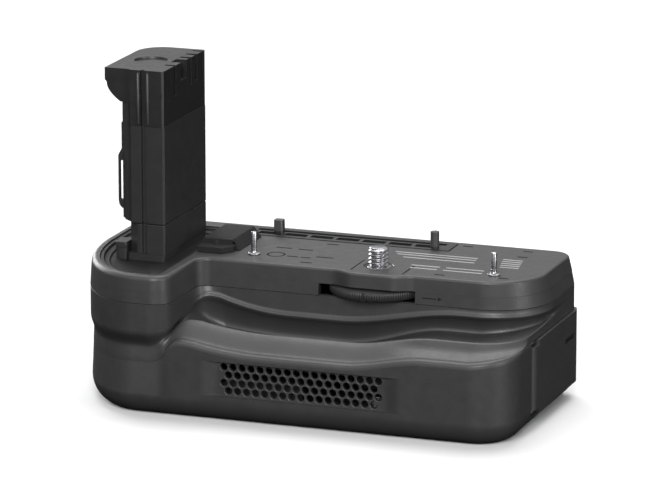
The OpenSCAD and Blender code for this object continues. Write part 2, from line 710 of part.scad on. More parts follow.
module insert_column() {
    color(dark_grey) difference() {
        translate([insert_x, insert_y, column_z - seam_gap]) union() {
            translate([0, 0, seam_gap]) linear_extrude(insert_h) insert_plan(insert_w);
            linear_extrude(seam_gap) translate([-foot_w + 1.5, 1.5]) square([foot_w - 3, insert_d - 3]);
        }
        cable_channel(column_z - seam_gap, insert_h + seam_gap - 0.6);
    }
}

// Comb slots in the cap's right face: distance from the front, width and length
comb = [[9.6, 1.5, 9.8], [15.3, 4.8, 5.8], [22.4, 1.9, 8.6], [27.7, 1.9, 8.4], [33.4, 1.3, 15.7]];
comb_depth = 3.4;
dimple_r = 5.4;
cap_back_r = 8.6;
cap_proud = 0.4;
nose_front = 0.8;

// Outer limit of the cap in plan, round at the back left
module cap_plan() {
    translate([-cap_w, 0]) square([cap_w, insert_d - cap_back_r]);
    translate([-cap_w + cap_back_r, 0]) square([cap_w - cap_back_r, insert_d]);
    translate([-cap_w + cap_back_r, insert_d - cap_back_r]) circle(cap_back_r);
}

module insert_cap() {
    color(black) translate([insert_x, insert_y - cap_proud, cap_z]) difference() {
        intersection() {
            union() {
                linear_extrude(cap_h) insert_plan(insert_w);
                translate([0, nose_front, 0]) rotate([90, 0, 180]) linear_extrude(insert_d - nose_front)
                    mirror([1, 0]) nose_profile();
            }
            translate([0, 0, -eps]) linear_extrude(cap_h + 2 * eps) cap_plan();
        }
        for (c = comb)
            translate([-comb_depth, c[0], cap_h - c[2]]) cube([comb_depth + eps, c[1], c[2] + eps]);
        translate([-cap_w * 0.52, 16.2, cap_h - 0.7]) cylinder(r = dimple_r, h = 2);
    }
}

// Side view of the nose on the cap's left: flat outside, curving in below
module nose_profile() {
    reach = cap_w - insert_w;
    low = 7.2;
    face = 3.9;
    step = 0.6;
    rise = cap_h - low - face - step;
    polygon(concat([[-insert_w + 4, cap_h], [-insert_w - reach, cap_h], [-insert_w - reach, cap_h - face]],
        [for (k = [0 : 8]) let (a = 90 * k / 8)
            [-insert_w - (reach - step) * (1 - pow(sin(a), 2)), cap_h - face - step - rise * sin(a)]],
        [[-insert_w + 4, low]]));
}

module insert_contacts() {
    color(gold) translate([insert_x, insert_y - cap_proud, cap_z + cap_h])
        for (k = [1 : 3])
            translate([-comb_depth, comb[k][0] + comb[k][1] / 2 - 0.4, -comb[k][2]])
                cube([1.8, 0.8, comb[k][2] - 1.2]);
}

// Thin flange down the insert's left edge, with a loop in it
module insert_loop() {
    bar = 0.8;
    out = 2.3;
    flange = 1.1;
    flange_t = 1;
    low = 3.4;
    high = 20.7;
    color(dark_grey) translate([insert_x - insert_w, insert_y + 3.4 + flange_t, column_z]) rotate([90, 0, 0])
        linear_extrude(flange_t) difference() {
            polygon([[0, low], [-out + 1.2, low + 0.2], [-out + 0.3, low + 1.2], [-out, low + 2.6],
                [-out, high], [-flange, high + 2.3], [-flange, insert_h], [0, insert_h]]);
            polygon([[eps, low + 3], [-out + bar, low + 3.2], [-out + bar, high - 1.7], [eps, high - 1.4]]);
        }
}

// Stepped seal round the insert's foot
collar_front = 11;
collar_left = 6.4;
collar_right = 5;
collar_back = 5.4;
collar_h = 0.7;
tab = [3, 2.6, 2.6];
module insert_collar() {
    w = foot_w + collar_left + collar_right;
    d = insert_d + collar_front + collar_back;
    step = 2.2;
    color(black) difference() {
        translate([insert_x - foot_w - collar_left, insert_y - collar_front, top_z]) {
            linear_extrude(collar_h) rounded_rect([w, d], 9);
            translate([step, step, 0]) linear_extrude(2 * collar_h) rounded_rect([w - 2 * step, d - 2 * step], 7);
            translate([w - collar_right - tab.x, d - step - tab.y, 0]) cube(tab);
        }
        translate([insert_x - foot_w - seat_gap, insert_y - seat_gap, top_z - eps])
            cube([foot_w + 2 * seat_gap, insert_d + 2 * seat_gap, 4 * collar_h + 2 * eps]);
    }
}

key_w = 4;
key_d = 6.4;
key_h = 2;
module insert_key() {
    color(dark_grey) translate([insert_x - foot_w - seat_gap - key_w, insert_y, top_z + 2 * collar_h])
        linear_extrude(key_h) rounded_rect([key_w, key_d], 0.8);
}

// Block beside the insert: a high part with a sloped right side, and a low step before it
ledge_x = wall_x - 3.2;
ledge_w = 9.9;
ledge_slope = 2.7;
ledge_y = recess_y + 6.5;
ledge_d = 25.3;
ledge_h = 3.4;
ledge_step = 5.5;
ledge_low = 1.9;
ledge_rib = 1.4;
module ledge_block() {
    end_x = ledge_w + ledge_slope;
    color(shell_grey) {
        translate([ledge_x, ledge_y + ledge_d, top_z]) rotate([90, 0, 0])
            linear_extrude(ledge_d - ledge_step)
                polygon([[0, 0], [end_x, 0], [ledge_w, ledge_h], [0, ledge_h]]);
        translate([ledge_x, ledge_y, top_z]) linear_extrude(ledge_low)
            polygon([[0, 0], [ledge_w - 1.5, 0], [end_x - 1.6, 3.6], [end_x - 1.6, ledge_step + eps],
                [0, ledge_step + eps]]);
        translate([ledge_x + 4, ledge_y + ledge_step - 1.2, top_z])
            cube([ledge_rib, 1.2 + eps, ledge_h - 0.6]);
    }
}

module locating_pins() {
    flange_r = 2;
    flange_t = 0.5;
    tip = 0.4;
    color(steel) for (k = [0, 1])
        translate([pin_left_x + k * pin_spacing, pin_y, 0]) {
            translate([0, 0, under_z - chassis_t]) cylinder(r = pin_r, h = top_t + chassis_t + pin_reach - tip);
            translate([0, 0, top_z]) cylinder(r = flange_r, h = flange_t);
            translate([0, 0, top_z + pin_reach - tip]) cylinder(r1 = pin_r, r2 = pin_r - tip, h = tip);
        }
}

// Chassis under the top plate
chassis_t = 1.5;
chassis_gap = 4.9;
chassis_margin = 4.4;
shank_r = screw_r + 0.4;
bush_wall = 1;
bush_r = shank_r + shaft_gap + bush_wall;
bush_sink = 0.3;
module chassis_plate() {
    x0 = pin_left_x - chassis_margin;
    y0 = recess_y + wall + recess_draft + inner_slope + seat_gap;
    size = [pin_spacing + 2 * chassis_margin, strip_y - strip_lip - chassis_gap - y0];
    corner = [x_right - upper_corner_r, recess_y + upper_corner_r];
    corner_r = upper_corner_r - wall - right_draft - inner_slope - seat_gap;
    color(steel) difference() {
        translate([0, 0, under_z - chassis_t]) linear_extrude(chassis_t) intersection() {
            translate([x0, y0]) rounded_rect(size, 2);
            union() {
                translate([x0, y0]) square([corner.x - x0, size.y]);
                translate(corner) circle(r = corner_r);
                translate(corner) square([corner_r, y_back - corner.y]);
            }
        }
        translate([screw_x, screw_y, 0]) cylinder(r = bush_r, h = body_h);
        for (k = [0, 1])
            translate([pin_left_x + k * pin_spacing, pin_y, 0]) cylinder(r = pin_r, h = body_h);
    }
}

module screw_bush() {
    low = wheel_z + wheel_t + run_gap;
    color(black) translate([screw_x, screw_y, low]) difference() {
        cylinder(r = bush_r, h = top_z - bush_sink - low);
        translate([0, 0, -eps]) cylinder(r = shank_r + shaft_gap, h = body_h);
    }
}

// Stirrup under the wheel, hung from the chassis behind it
bracket_t = 1.2;
journal_r = 1.5;
bracket_top_z = wheel_z - 2 * run_gap;
module wheel_bracket() {
    half = 9;
    leg_y = screw_y + wheel_r + 3 * run_gap;
    y0 = recess_y + wall + 3 * run_gap;
    color(steel) difference() {
        union() {
            translate([screw_x - half, y0, bracket_top_z - bracket_t])
                cube([2 * half, leg_y + bracket_t - y0, bracket_t]);
            translate([screw_x - half, leg_y, bracket_top_z - bracket_t])
                cube([2 * half, bracket_t, under_z - chassis_t - bracket_top_z + bracket_t]);
        }
        translate([screw_x, screw_y, 0]) cylinder(r = journal_r + shaft_gap, h = body_h);
    }
}

module lock_wheel() {
    depth = 0.45;
    steps = 4 * wheel_ribs;
    color(dark_grey) translate([screw_x, screw_y, wheel_z]) difference() {
        linear_extrude(wheel_t) polygon([for (k = [0 : steps - 1])
            (wheel_r - (k % 4 < 2 ? 0 : depth)) * [cos(k * 360 / steps), sin(k * 360 / steps)]]);
        translate([0, 0, -eps]) cylinder(r = journal_r, h = wheel_t + 2 * eps);
    }
}

module tripod_screw() {
    tip = 1;
    relief = 0.4;
    low = bracket_top_z - bracket_t - 2.2;
    seat = wheel_z + wheel_t;
    shank_top = top_z - bush_sink;
    top = top_z + screw_reach;
    color(steel) translate([screw_x, screw_y, 0]) rotate_extrude()
        polygon([[0, low], [journal_r, low], [journal_r, seat], [shank_r, seat], [shank_r, shank_top],
            [screw_r - relief, shank_top], [screw_r - relief, top_z + relief], [screw_r, top_z + relief],
            [screw_r, top - tip], [screw_r - tip, top], [0, top]]);
}

module retaining_ring() {
    color(steel) translate([screw_x, screw_y, bracket_top_z - bracket_t - run_gap - 0.7]) difference() {
        cylinder(r = 2.6, h = 0.7);
        translate([0, 0, -eps]) cylinder(r = journal_r, h = 2);
    }
}

// Tray, contacts and pack
module battery_tray() {
    leg = 1.2;
    color(black) {
        translate([tray_x, battery_y - 0.2, battery_floor_z - tray_t])
            cube([tray_t + contact_l + battery_l, tray_back_y + tray_back_t - battery_y + 0.2, tray_t]);
        translate([tray_x, battery_y - 0.2, battery_floor_z - tray_t])
            cube([tray_t, tray_back_y + tray_back_t - battery_y + 0.2, board_z - battery_floor_z + tray_t]);
        translate([tray_x, tray_back_y, battery_floor_z - tray_t])
            cube([battery_l - 4, tray_back_t, board_z - battery_floor_z + tray_t]);
        for (k = [0.3, 0.75])
            translate([tray_x, battery_y + k * battery_w, floor_t])
                cube([battery_l, leg, battery_floor_z - tray_t - floor_t]);
    }
}

module battery_contacts() {
    color(gold) for (k = [0 : 3])
        translate([tray_x + tray_t, battery_y + 7 + k * 7.4, battery_floor_z + battery_t / 2 - 2])
            cube([contact_l, 2.2, 6]);
}

module battery() {
    color(dark_grey) translate([battery_x, battery_y, battery_floor_z]) rotate([90, 0, 90])
        linear_extrude(battery_l) rounded_rect([battery_w, battery_t], 2.2);
}

board_w = 50;
board_gap = 2.9;
board_y = recess_y + groove_depth + wall + board_gap;
board_d = tray_back_y + tray_back_t - board_y;
module circuit_board() {
    color(board_green) translate([tray_x, board_y, board_z]) cube([board_w, board_d, board_t]);
}

module board_parts() {
    top = board_z + board_t;
    color(black) {
        translate([tray_x + 24, board_y + 20, top]) linear_extrude(1.2) rounded_rect([9, 9], 0.5);
        translate([tray_x + 38, board_y + 21, top]) linear_extrude(2) rounded_rect([7, 7], 1);
        translate([tray_x + 36, board_y + 6, top]) linear_extrude(1) rounded_rect([10, 5], 0.4);
        translate([tray_x + 4.2, cable_y - 1, top]) linear_extrude(1.6) rounded_rect([3, cable_w + 2], 0.4);
    }
}

module contact_cable() {
    low = board_z + board_t;
    color(gold) {
        translate([cable_x, cable_y, low]) cube([tray_x + 4.2 - cable_x, cable_w, cable_t]);
        translate([cable_x, cable_y, low]) cube([cable_t, cable_w, cap_z - 0.6 - low]);
    }
}

// Hinge of the end door
lug_t = 1.2;
module hinge_bracket() {
    back = 1.2;
    inner_x = x_right - wall;
    plate_x = hinge_x - barrel_r - 2 * run_gap - back;
    foot = 6;
    span = door_top_z - door_low_z;
    wall_top_z = min(door_top_z - 2, right_shelf_z - 2 * wall - run_gap);
    color(black) difference() {
        union() {
            translate([inner_x - back, opening_front_y - foot, bottom_r])
                cube([back, foot, wall_top_z - bottom_r]);
            translate([plate_x, opening_front_y, door_low_z])
                cube([back, hinge_y + 1.5 - opening_front_y, span]);
            translate([plate_x, opening_front_y - back, bottom_r]) {
                cube([inner_x - plate_x, back, wall_top_z - bottom_r]);
                cube([back, 2 * back, wall_top_z - bottom_r]);
            }
            for (z = [door_low_z, door_top_z - lug_t]) translate([0, 0, z]) {
                translate([plate_x, hinge_y - hinge_r, 0])
                    cube([hinge_x - plate_x, 2 * hinge_r, lug_t]);
                translate([hinge_x, hinge_y, 0]) cylinder(r = hinge_r, h = lug_t);
            }
        }
        translate([hinge_x, hinge_y, 0]) cylinder(r = hinge_pin_r, h = body_h);
    }
}

module hinge_pin() {
    color(steel) translate([hinge_x, hinge_y, door_low_z])
        cylinder(r = hinge_pin_r, h = door_top_z - door_low_z);
}

// Wall-hugging plan of the door, between two offsets from the casing's side
module door_plan(out, in) {
    c = [x_right - back_right_r, y_back - back_right_r];
    difference() {
        union() {
            translate([c.x, hinge_y]) square([back_right_r + out, c.y - hinge_y]);
            intersection() {
                translate(c) circle(r = back_right_r + out, $fn = 96);
                translate([c.x, c.y - eps]) square([back_right_r + out, door_back_y - c.y + eps]);
            }
        }
        translate([c.x - eps, hinge_y - eps]) square([back_right_r - in + eps, c.y - hinge_y + eps]);
        translate(c) circle(r = back_right_r - in, $fn = 96);
    }
}

latch_y = door_back_y - 3.4 - latch_slot_l;
latch_z = door_low_z + 15.6;
latch_travel = 4;
latch_nub_l = latch_slot_l - latch_travel - 2 * run_gap;
module battery_door() {
    inset = door_t - door_proud;
    knuckle_low = door_low_z + lug_t + run_gap;
    knuckle_h = door_top_z - door_low_z - 2 * lug_t - 2 * run_gap;
    notch_y = hinge_y + hinge_r + run_gap;
    color(shell_grey) difference() {
        union() {
            difference() {
                translate([0, 0, door_low_z]) linear_extrude(door_top_z - door_low_z) door_plan(door_proud, inset);
                for (z = [door_low_z - eps, knuckle_low + knuckle_h])
                    translate([x_right - back_right_r, hinge_y - eps, z])
                        cube([2 * back_right_r, notch_y - hinge_y + eps, lug_t + run_gap + eps]);
            }
            translate([hinge_x, hinge_y, knuckle_low]) cylinder(r = barrel_r, h = knuckle_h);
            for (z = [latch_z - 4.3, latch_z + 3.1])
                translate([x_right - inset - 1.4, latch_y - 3, z])
                    cube([1.4 + inset / 2, y_back - back_right_r - latch_y + 3, 1.2]);
        }
        translate([hinge_x, hinge_y, 0]) cylinder(r = hinge_pin_r + shaft_gap, h = body_h);
        translate([x_right - door_t - eps, latch_y, latch_z - latch_slot_h / 2])
            cube([door_t + door_proud + 2 * eps, latch_slot_l, latch_slot_h]);
    }
}

module door_latch() {
    inner_x = x_right - door_t + door_proud - run_gap;
    plate_t = 1;
    nub_y = latch_y + latch_slot_l - run_gap - latch_nub_l;
    color(black) {
        translate([inner_x - plate_t, latch_y + latch_travel + run_gap, latch_z - 2.8])
            cube([plate_t, y_back - back_right_r - latch_y - latch_travel - 2 * run_gap, 5.6]);
        translate([inner_x - plate_t, nub_y, latch_z - latch_slot_h / 2 + run_gap])
            cube([plate_t + run_gap + door_t - 1, latch_nub_l, latch_slot_h - 2 * run_gap]);
    }
}

module tripod_socket() {
    color(steel) translate([screw_x, screw_y, 0]) difference() {
        cylinder(r = socket_r, h = battery_floor_z - tray_t - 0.2);
        translate([0, 0, -eps]) cylinder(r = socket_bore, h = body_h);
    }
}

post_spots = [[x_left + 9.5, y_back - 18, under_z], [x_left + 14, y_front + 22, under_z],
    [duct_x + duct_w + post_gap, duct_front_y + post_gap, under_z - chassis_t]];
module assembly_posts() {
    color(black) for (p = post_spots)
        translate([p.x, p.y, floor_t]) difference() {
            cylinder(r = post_r, h = p.z - floor_t);
            translate([0, 0, -eps]) cylinder(r = post_bore, h = 12);
        }
}

module bottom_screws() {
    color(steel) for (p = post_spots)
        translate([p.x, p.y, 0.4]) difference() {
            union() {
                cylinder(r = screw_head_r, h = screw_head_t);
                cylinder(r = post_bore, h = floor_t + 8);
            }
            for (a = [0, 90]) rotate(a) translate([-1.3, -0.3, -eps]) cube([2.6, 0.6, eps + 0.6]);
        }
}

upper_shell();
lower_shell();
vent_grille();
fan_housing();
fan_bearing();
fan_stator();
fan_rotor();
fan_shaft();
air_duct();
duct_frame();
insert_base();
insert_column();
insert_cap();
insert_contacts();
insert_loop();
insert_collar();
insert_key();
ledge_block();
locating_pins();
chassis_plate();
screw_bush();
wheel_bracket();
lock_wheel();
tripod_screw();
retaining_ring();
circuit_board();
board_parts();
contact_cable();
battery_tray();
battery_contacts();
battery();
hinge_bracket();
hinge_pin();
battery_door();
door_latch();
tripod_socket();
assembly_posts();
bottom_screws();
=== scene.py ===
"""Looks of the camera battery grip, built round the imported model."""
import math

import bmesh
import bpy
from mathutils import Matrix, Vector


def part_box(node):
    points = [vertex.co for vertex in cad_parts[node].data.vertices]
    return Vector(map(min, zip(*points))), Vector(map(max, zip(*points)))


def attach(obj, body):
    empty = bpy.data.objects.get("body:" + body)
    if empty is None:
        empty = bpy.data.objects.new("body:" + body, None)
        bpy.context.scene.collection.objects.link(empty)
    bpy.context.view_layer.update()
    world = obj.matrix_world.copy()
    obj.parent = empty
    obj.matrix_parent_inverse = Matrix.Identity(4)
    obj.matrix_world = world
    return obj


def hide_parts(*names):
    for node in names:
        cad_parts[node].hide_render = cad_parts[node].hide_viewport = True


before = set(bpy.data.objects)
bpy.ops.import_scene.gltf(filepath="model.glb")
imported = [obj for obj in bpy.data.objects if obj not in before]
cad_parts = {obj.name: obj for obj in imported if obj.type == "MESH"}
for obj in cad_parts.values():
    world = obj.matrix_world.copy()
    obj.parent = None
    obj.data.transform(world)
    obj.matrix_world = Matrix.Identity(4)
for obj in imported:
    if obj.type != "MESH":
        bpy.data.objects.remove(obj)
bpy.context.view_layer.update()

MM = 0.001


def box_mm(node):
    low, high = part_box(node)
    return low / MM, high / MM


# Main planes of the casing, in millimetres
upper_low, upper_high = box_mm("upper_shell")
X_LEFT, Y_FRONT, PARTING_Z = upper_low
X_RIGHT, Y_BACK, TOP_Z = upper_high
COLUMN_W = 37.9
COLUMN_SWEEP = 26.6
COLUMN_REACH = 44
COLUMN_EDGE_R = 6
COLUMN_STEP = 1.6
SIDE_STEP = 0.3
RECESS_DEPTH = 28.7
RECESS_R = 4
UPPER_CORNER_R = 19
LOWER_CORNER_R = 14
BACK_RIGHT_R = 8
BACK_LEFT_R = 10
WALL = 2.2
TOP_T = 2.6
FLOOR_T = 2.4
BOTTOM_R = 7.6
SEAM = 0.16
SEAM_IN = 0.7
WALL_X = X_LEFT + COLUMN_W
RECESS_Y = Y_FRONT + RECESS_DEPTH
SHELF_Y = Y_FRONT + COLUMN_STEP
UNDER_Z = TOP_Z - TOP_T

# Wheel, screw and pins, from the frame
wheel_low, wheel_high = box_mm("lock_wheel")
screw_low, screw_high = box_mm("tripod_screw")
pins_low, pins_high = box_mm("locating_pins")
SCREW_X = (screw_low.x + screw_high.x) / 2
SCREW_Y = (screw_low.y + screw_high.y) / 2
WHEEL_R = (wheel_high.x - wheel_low.x) / 2
SLOT_GAP = 0.3
SLOT_TOP_Z = wheel_high.z + SLOT_GAP
SLOT_W = 32
SLOT_X = SCREW_X - 0.8
BUSH_R = (box_mm("screw_bush")[1].x - box_mm("screw_bush")[0].x) / 2
BUMP_X = SCREW_X + 1.4
BUMP_DEPTH = 2.6
BUMP_W = 27
BUMP_FLANK = 7

# Mesh helpers

SHARP_ANGLE = 32
FINE_ANGLE = 40
THREAD_ANGLE = 50
JOIN_GAP = 1e-7
ROUND_SIDES = 48


def shade(mesh, angle):
    mesh.shade_smooth()
    mesh.set_sharp_from_angle(angle=math.radians(angle))


def piece(name, points, faces, angle=SHARP_ANGLE):
    """A mesh object from points in millimetres."""
    mesh = bpy.data.meshes.new(name)
    mesh.from_pydata([Vector(p) * MM for p in points], [], faces)
    work = bmesh.new()
    work.from_mesh(mesh)
    bmesh.ops.remove_doubles(work, verts=work.verts, dist=JOIN_GAP)
    bmesh.ops.recalc_face_normals(work, faces=work.faces)
    work.to_mesh(mesh)
    work.free()
    shade(mesh, angle)
    obj = bpy.data.objects.new(name, mesh)
    bpy.context.scene.collection.objects.link(obj)
    return obj


def bake(obj):
    """Turns an object's modifiers into its mesh."""
    graph = bpy.context.evaluated_depsgraph_get()
    mesh = bpy.data.meshes.new_from_object(obj.evaluated_get(graph))
    obj.modifiers.clear()
    obj.data = mesh
    shade(mesh, SHARP_ANGLE)


def stack(rings, first_point=0):
    """Faces of a closed skin through rings with the same number of points."""
    count = len(rings[0])
    faces = []
    for k in range(len(rings) - 1):
        for i in range(count):
            a = first_point + k * count + i
            b = first_point + k * count + (i + 1) % count
            faces.append((a, b, b + count, a + count))
    last = first_point + (len(rings) - 1) * count
    faces.append(tuple(range(first_point + count - 1, first_point - 1, -1)))
    faces.append(tuple(range(last, last + count)))
    return faces


def skins(name, solids):
    """One object with a closed skin round each solid, which is a stack of rings."""
    points, faces = [], []
    for rings in solids:
        faces += stack(rings, len(points))
        points += [p for ring in rings for p in ring]
    return piece(name, points, faces)


def skin(name, rings, angle=SHARP_ANGLE):
    return piece(name, [p for ring in rings for p in ring], stack(rings), angle)


def tube(name, rings, angle=SHARP_ANGLE):
    """An object with a skin through rings, of which the last joins the first."""
    count = len(rings[0])
    total = count * len(rings)
    faces = []
    for start in range(0, total, count):
        for i in range(count):
            a, b = start + i, start + (i + 1) % count
            faces.append((a, b, (b + count) % total, (a + count) % total))
    return piece(name, [p for ring in rings for p in ring], faces, angle)


def sheet(name, low, high):
    """A flat rectangle, level or upright, between two opposite corners."""
    points = [low, (high[0], low[1], low[2]), high, (low[0], high[1], high[2])]
    return piece(name, points, [(0, 1, 2, 3)])


def circle(x, y, z, r, count=ROUND_SIDES):
    steps = [2 * math.pi * k / count for k in range(count)]
    return [(x + r * math.cos(a), y + r * math.sin(a), z) for a in steps]


def lathe(x, y, profile, count=ROUND_SIDES):
    """Rings of a turned shape, from pairs of radius and height."""
    return [circle(x, y, z, r, count) for r, z in profile]


def block(low, high):
    """Two rings of a rectangular block."""
    corners = [(low[0], low[1]), (high[0], low[1]), (high[0], high[1]), (low[0], high[1])]
    return [[(x, y, z) for x, y in corners] for z in (low[2], high[2])]


def carve(obj, *solids):
    """Cuts solids, each a stack of rings, out of an object."""
    cutter = skins("cutter", solids)
    cut = obj.modifiers.new("cut", "BOOLEAN")
    cut.object = cutter
    cut.solver = "EXACT"
    bake(obj)
    bpy.data.objects.remove(cutter)


# Plan of the casing, in stretches round from the left side

def along(a, b, count):
    return [Vector(a).lerp(Vector(b), k / count) for k in range(count)]


def turn(x, y, rx, ry, start, end, count):
    points = []
    for k in range(count):
        a = math.radians(start + (end - start) * k / count)
        points.append(Vector((x + rx * math.cos(a), y + ry * math.sin(a))))
    return points


COUNTS = [14, 60, 10, 20, 26, 18, 150, 46, 12, 18, 40, 18]
RECESS = 6
N_LEFT, N_SWEEP, N_FRONT, N_EDGE, N_WALL, N_INNER = COUNTS[:6]
N_RECESS, N_CORNER, N_RIGHT, N_BACK_RIGHT, N_BACK, N_BACK_LEFT = COUNTS[6:]
EDGE_X = WALL_X - COLUMN_EDGE_R
UPPER_PLAN = (
    along((X_LEFT, Y_BACK - BACK_LEFT_R), (X_LEFT, Y_FRONT + COLUMN_REACH), N_LEFT)
    + turn(X_LEFT + COLUMN_SWEEP, Y_FRONT + COLUMN_REACH, COLUMN_SWEEP, COLUMN_REACH, 180, 270, N_SWEEP)
    + along((X_LEFT + COLUMN_SWEEP, Y_FRONT), (EDGE_X, Y_FRONT), N_FRONT)
    + turn(EDGE_X, Y_FRONT + COLUMN_EDGE_R, COLUMN_EDGE_R, COLUMN_EDGE_R, 270, 360, N_EDGE)
    + along((WALL_X, Y_FRONT + COLUMN_EDGE_R), (WALL_X, RECESS_Y - RECESS_R), N_WALL)
    + turn(WALL_X + RECESS_R, RECESS_Y - RECESS_R, RECESS_R, RECESS_R, 180, 90, N_INNER)
    + along((WALL_X + RECESS_R, RECESS_Y), (X_RIGHT - UPPER_CORNER_R, RECESS_Y), N_RECESS)
    + turn(X_RIGHT - UPPER_CORNER_R, RECESS_Y + UPPER_CORNER_R, UPPER_CORNER_R, UPPER_CORNER_R,
           270, 360, N_CORNER)
    + along((X_RIGHT, RECESS_Y + UPPER_CORNER_R), (X_RIGHT, Y_BACK - BACK_RIGHT_R), N_RIGHT)
    + turn(X_RIGHT - BACK_RIGHT_R, Y_BACK - BACK_RIGHT_R, BACK_RIGHT_R, BACK_RIGHT_R, 0, 90, N_BACK_RIGHT)
    + along((X_RIGHT - BACK_RIGHT_R, Y_BACK), (X_LEFT + BACK_LEFT_R, Y_BACK), N_BACK)
    + turn(X_LEFT + BACK_LEFT_R, Y_BACK - BACK_LEFT_R, BACK_LEFT_R, BACK_LEFT_R, 90, 180, N_BACK_LEFT))
LOW_LEFT = X_LEFT + SIDE_STEP
LOW_SWEEP = COLUMN_SWEEP - COLUMN_STEP
LOW_REACH = COLUMN_REACH - COLUMN_STEP
LOWER_PLAN = (
    along((LOW_LEFT, Y_BACK - BACK_LEFT_R), (LOW_LEFT, SHELF_Y + LOW_REACH), N_LEFT)
    + turn(LOW_LEFT + LOW_SWEEP, SHELF_Y + LOW_REACH, LOW_SWEEP, LOW_REACH, 180, 270, N_SWEEP)
    + along((LOW_LEFT + LOW_SWEEP, SHELF_Y), (EDGE_X, SHELF_Y), N_FRONT)
    + along((EDGE_X, SHELF_Y), (WALL_X - COLUMN_EDGE_R / 2, SHELF_Y), N_EDGE)
    + along((WALL_X - COLUMN_EDGE_R / 2, SHELF_Y), (WALL_X + RECESS_R / 4, SHELF_Y), N_WALL)
    + along((WALL_X + RECESS_R / 4, SHELF_Y), (WALL_X + RECESS_R, SHELF_Y), N_INNER)
    + along((WALL_X + RECESS_R, SHELF_Y), (X_RIGHT - LOWER_CORNER_R, SHELF_Y), N_RECESS)
    + turn(X_RIGHT - LOWER_CORNER_R, SHELF_Y + LOWER_CORNER_R, LOWER_CORNER_R, LOWER_CORNER_R,
           270, 360, N_CORNER)
    + along((X_RIGHT, SHELF_Y + LOWER_CORNER_R), (X_RIGHT, Y_BACK - BACK_RIGHT_R), N_RIGHT)
    + turn(X_RIGHT - BACK_RIGHT_R, Y_BACK - BACK_RIGHT_R, BACK_RIGHT_R, BACK_RIGHT_R, 0, 90, N_BACK_RIGHT)
    + along((X_RIGHT - BACK_RIGHT_R, Y_BACK), (LOW_LEFT + BACK_LEFT_R, Y_BACK), N_BACK)
    + turn(LOW_LEFT + BACK_LEFT_R, Y_BACK - BACK_LEFT_R, BACK_LEFT_R, BACK_LEFT_R, 90, 180, N_BACK_LEFT))
POINTS = range(len(UPPER_PLAN))
FIRST_RECESS = sum(COUNTS[:RECESS])
SOFTEN_PASSES = 8


def inward(plan):
    """Directions into the casing at each point of a plan."""
    directions = []
    for i in POINTS:
        step = plan[(i + 1) % len(plan)] - plan[i - 1]
        directions.append(Vector((-step.y, step.x)).normalized())
    return directions


def ease(t):
    u = min(max(t, 0), 1)
    return u * u * (3 - 2 * u)


def wave(fall, rise_from, rise_to, left, low, right):
    """Heights along the recess of an edge that falls, runs low and rises again."""
    heights = []
    for k in range(N_RECESS):
        t = k / N_RECESS
        if t < fall:
            heights.append(low + (left - low) * (1 - t / fall) ** 2)
        else:
            heights.append(low + (right - low) * ease((t - rise_from) / (rise_to - rise_from)))
    return heights


def round_plan(knots, recess=None):
    """Values round the plan: ramps between the starts of the stretches, softened where they meet."""
    values = []
    for k, count in enumerate(COUNTS):
        start, end = knots[k], knots[(k + 1) % len(knots)]
        values += [start + (end - start) * i / count for i in range(count)]
    if recess:
        values[FIRST_RECESS:FIRST_RECESS + N_RECESS] = recess
    for _ in range(SOFTEN_PASSES):
        values = [(values[i - 1] + 2 * values[i] + values[(i + 1) % len(values)]) / 4 for i in POINTS]
    return values


UPPER_IN = inward(UPPER_PLAN)
LOWER_IN = inward(LOWER_PLAN)

# Heights and depths in millimetres, and shares, at the start of each stretch and along the recess
EDGE = round_plan([27, 26.5, 26.5, 26.5, 27.5, 32.2, 34.6, 34.6, 34.8, 34, 33.4, 27],
                  wave(0.305, 0.489, 0.94, 34.6, 29.5, 34.6))
VALLEY = round_plan([24.2, 23.7, 23.7, 23.7, 25.5, 31, 26, 28.6, 31.6, 32.4, 32.4, 24.2],
                    wave(0.3, 0.5, 0.86, 26, 22.9, 28.6))
CREST = round_plan([21, 20, 20, 20, 22, 29.2, 31.2, 31.4, 31.6, 31, 30, 21],
                   wave(0.297, 0.58, 0.87, 31.2, 27.9, 31.4))
FLAT = round_plan([0, 0, 0, 0, 0, 0, 0, 1, 1, 0, 0, 0], wave(0.297, 0.68, 0.86, 0, 0, 1))
SHELF = round_plan([20.5, 19.5, 19.5, 19.5, 20.6, 25.4, 26.4, 26.8, 29.3, 29.6, 29.6, 20.5],
                   wave(0.297, 0.57, 0.86, 26.4, 23.1, 26.9))
CHANNEL_DIP = round_plan([0, 0, 0, 0, 0, 0, 3, 0.6, 0.4, 0, 0, 0], wave(0.3, 0.55, 0.9, 3, 1.7, 0.6))
HOLLOW = round_plan([0, 0, 1, 1, 1, 0, 0, 0, 0, 0, 0, 0])
GROOVE = round_plan([0, 0, 0, 0, 0, 0, 3, 3, 1.5, 0, 0, 0])
STEP_IN = round_plan([0, 0, 0, 0, 0, 1, 1, 1, 0.8, 0, 0, 0])
LIP = round_plan([0, 0, 0, 0, 0, 0, 0.6, 0.6, 0, 0, 0, 0])
DRAFT = round_plan([0.6, 0.5, 0.4, 0.4, 0.4, 0.3, 0.3, 0.3, 2, 2, 0.6, 0.6])
RIM = round_plan([1.6, 1.6, 1.6, 1.6, 1.6, 0.9, 0.9, 0.9, 0.9, 0.9, 0.9, 0.9])
BUMP = [BUMP_DEPTH * ease((BUMP_W / 2 - abs(p.x - BUMP_X)) / BUMP_FLANK)
        if FIRST_RECESS <= i < FIRST_RECESS + N_RECESS else 0 for i, p in enumerate(UPPER_PLAN)]


def upper_at(i, inset, z):
    p = UPPER_PLAN[i] + inset * UPPER_IN[i]
    return Vector((p.x, p.y, z))


def lower_at(i, inset, z):
    p = LOWER_PLAN[i] + inset * LOWER_IN[i]
    return Vector((p.x, p.y, z))


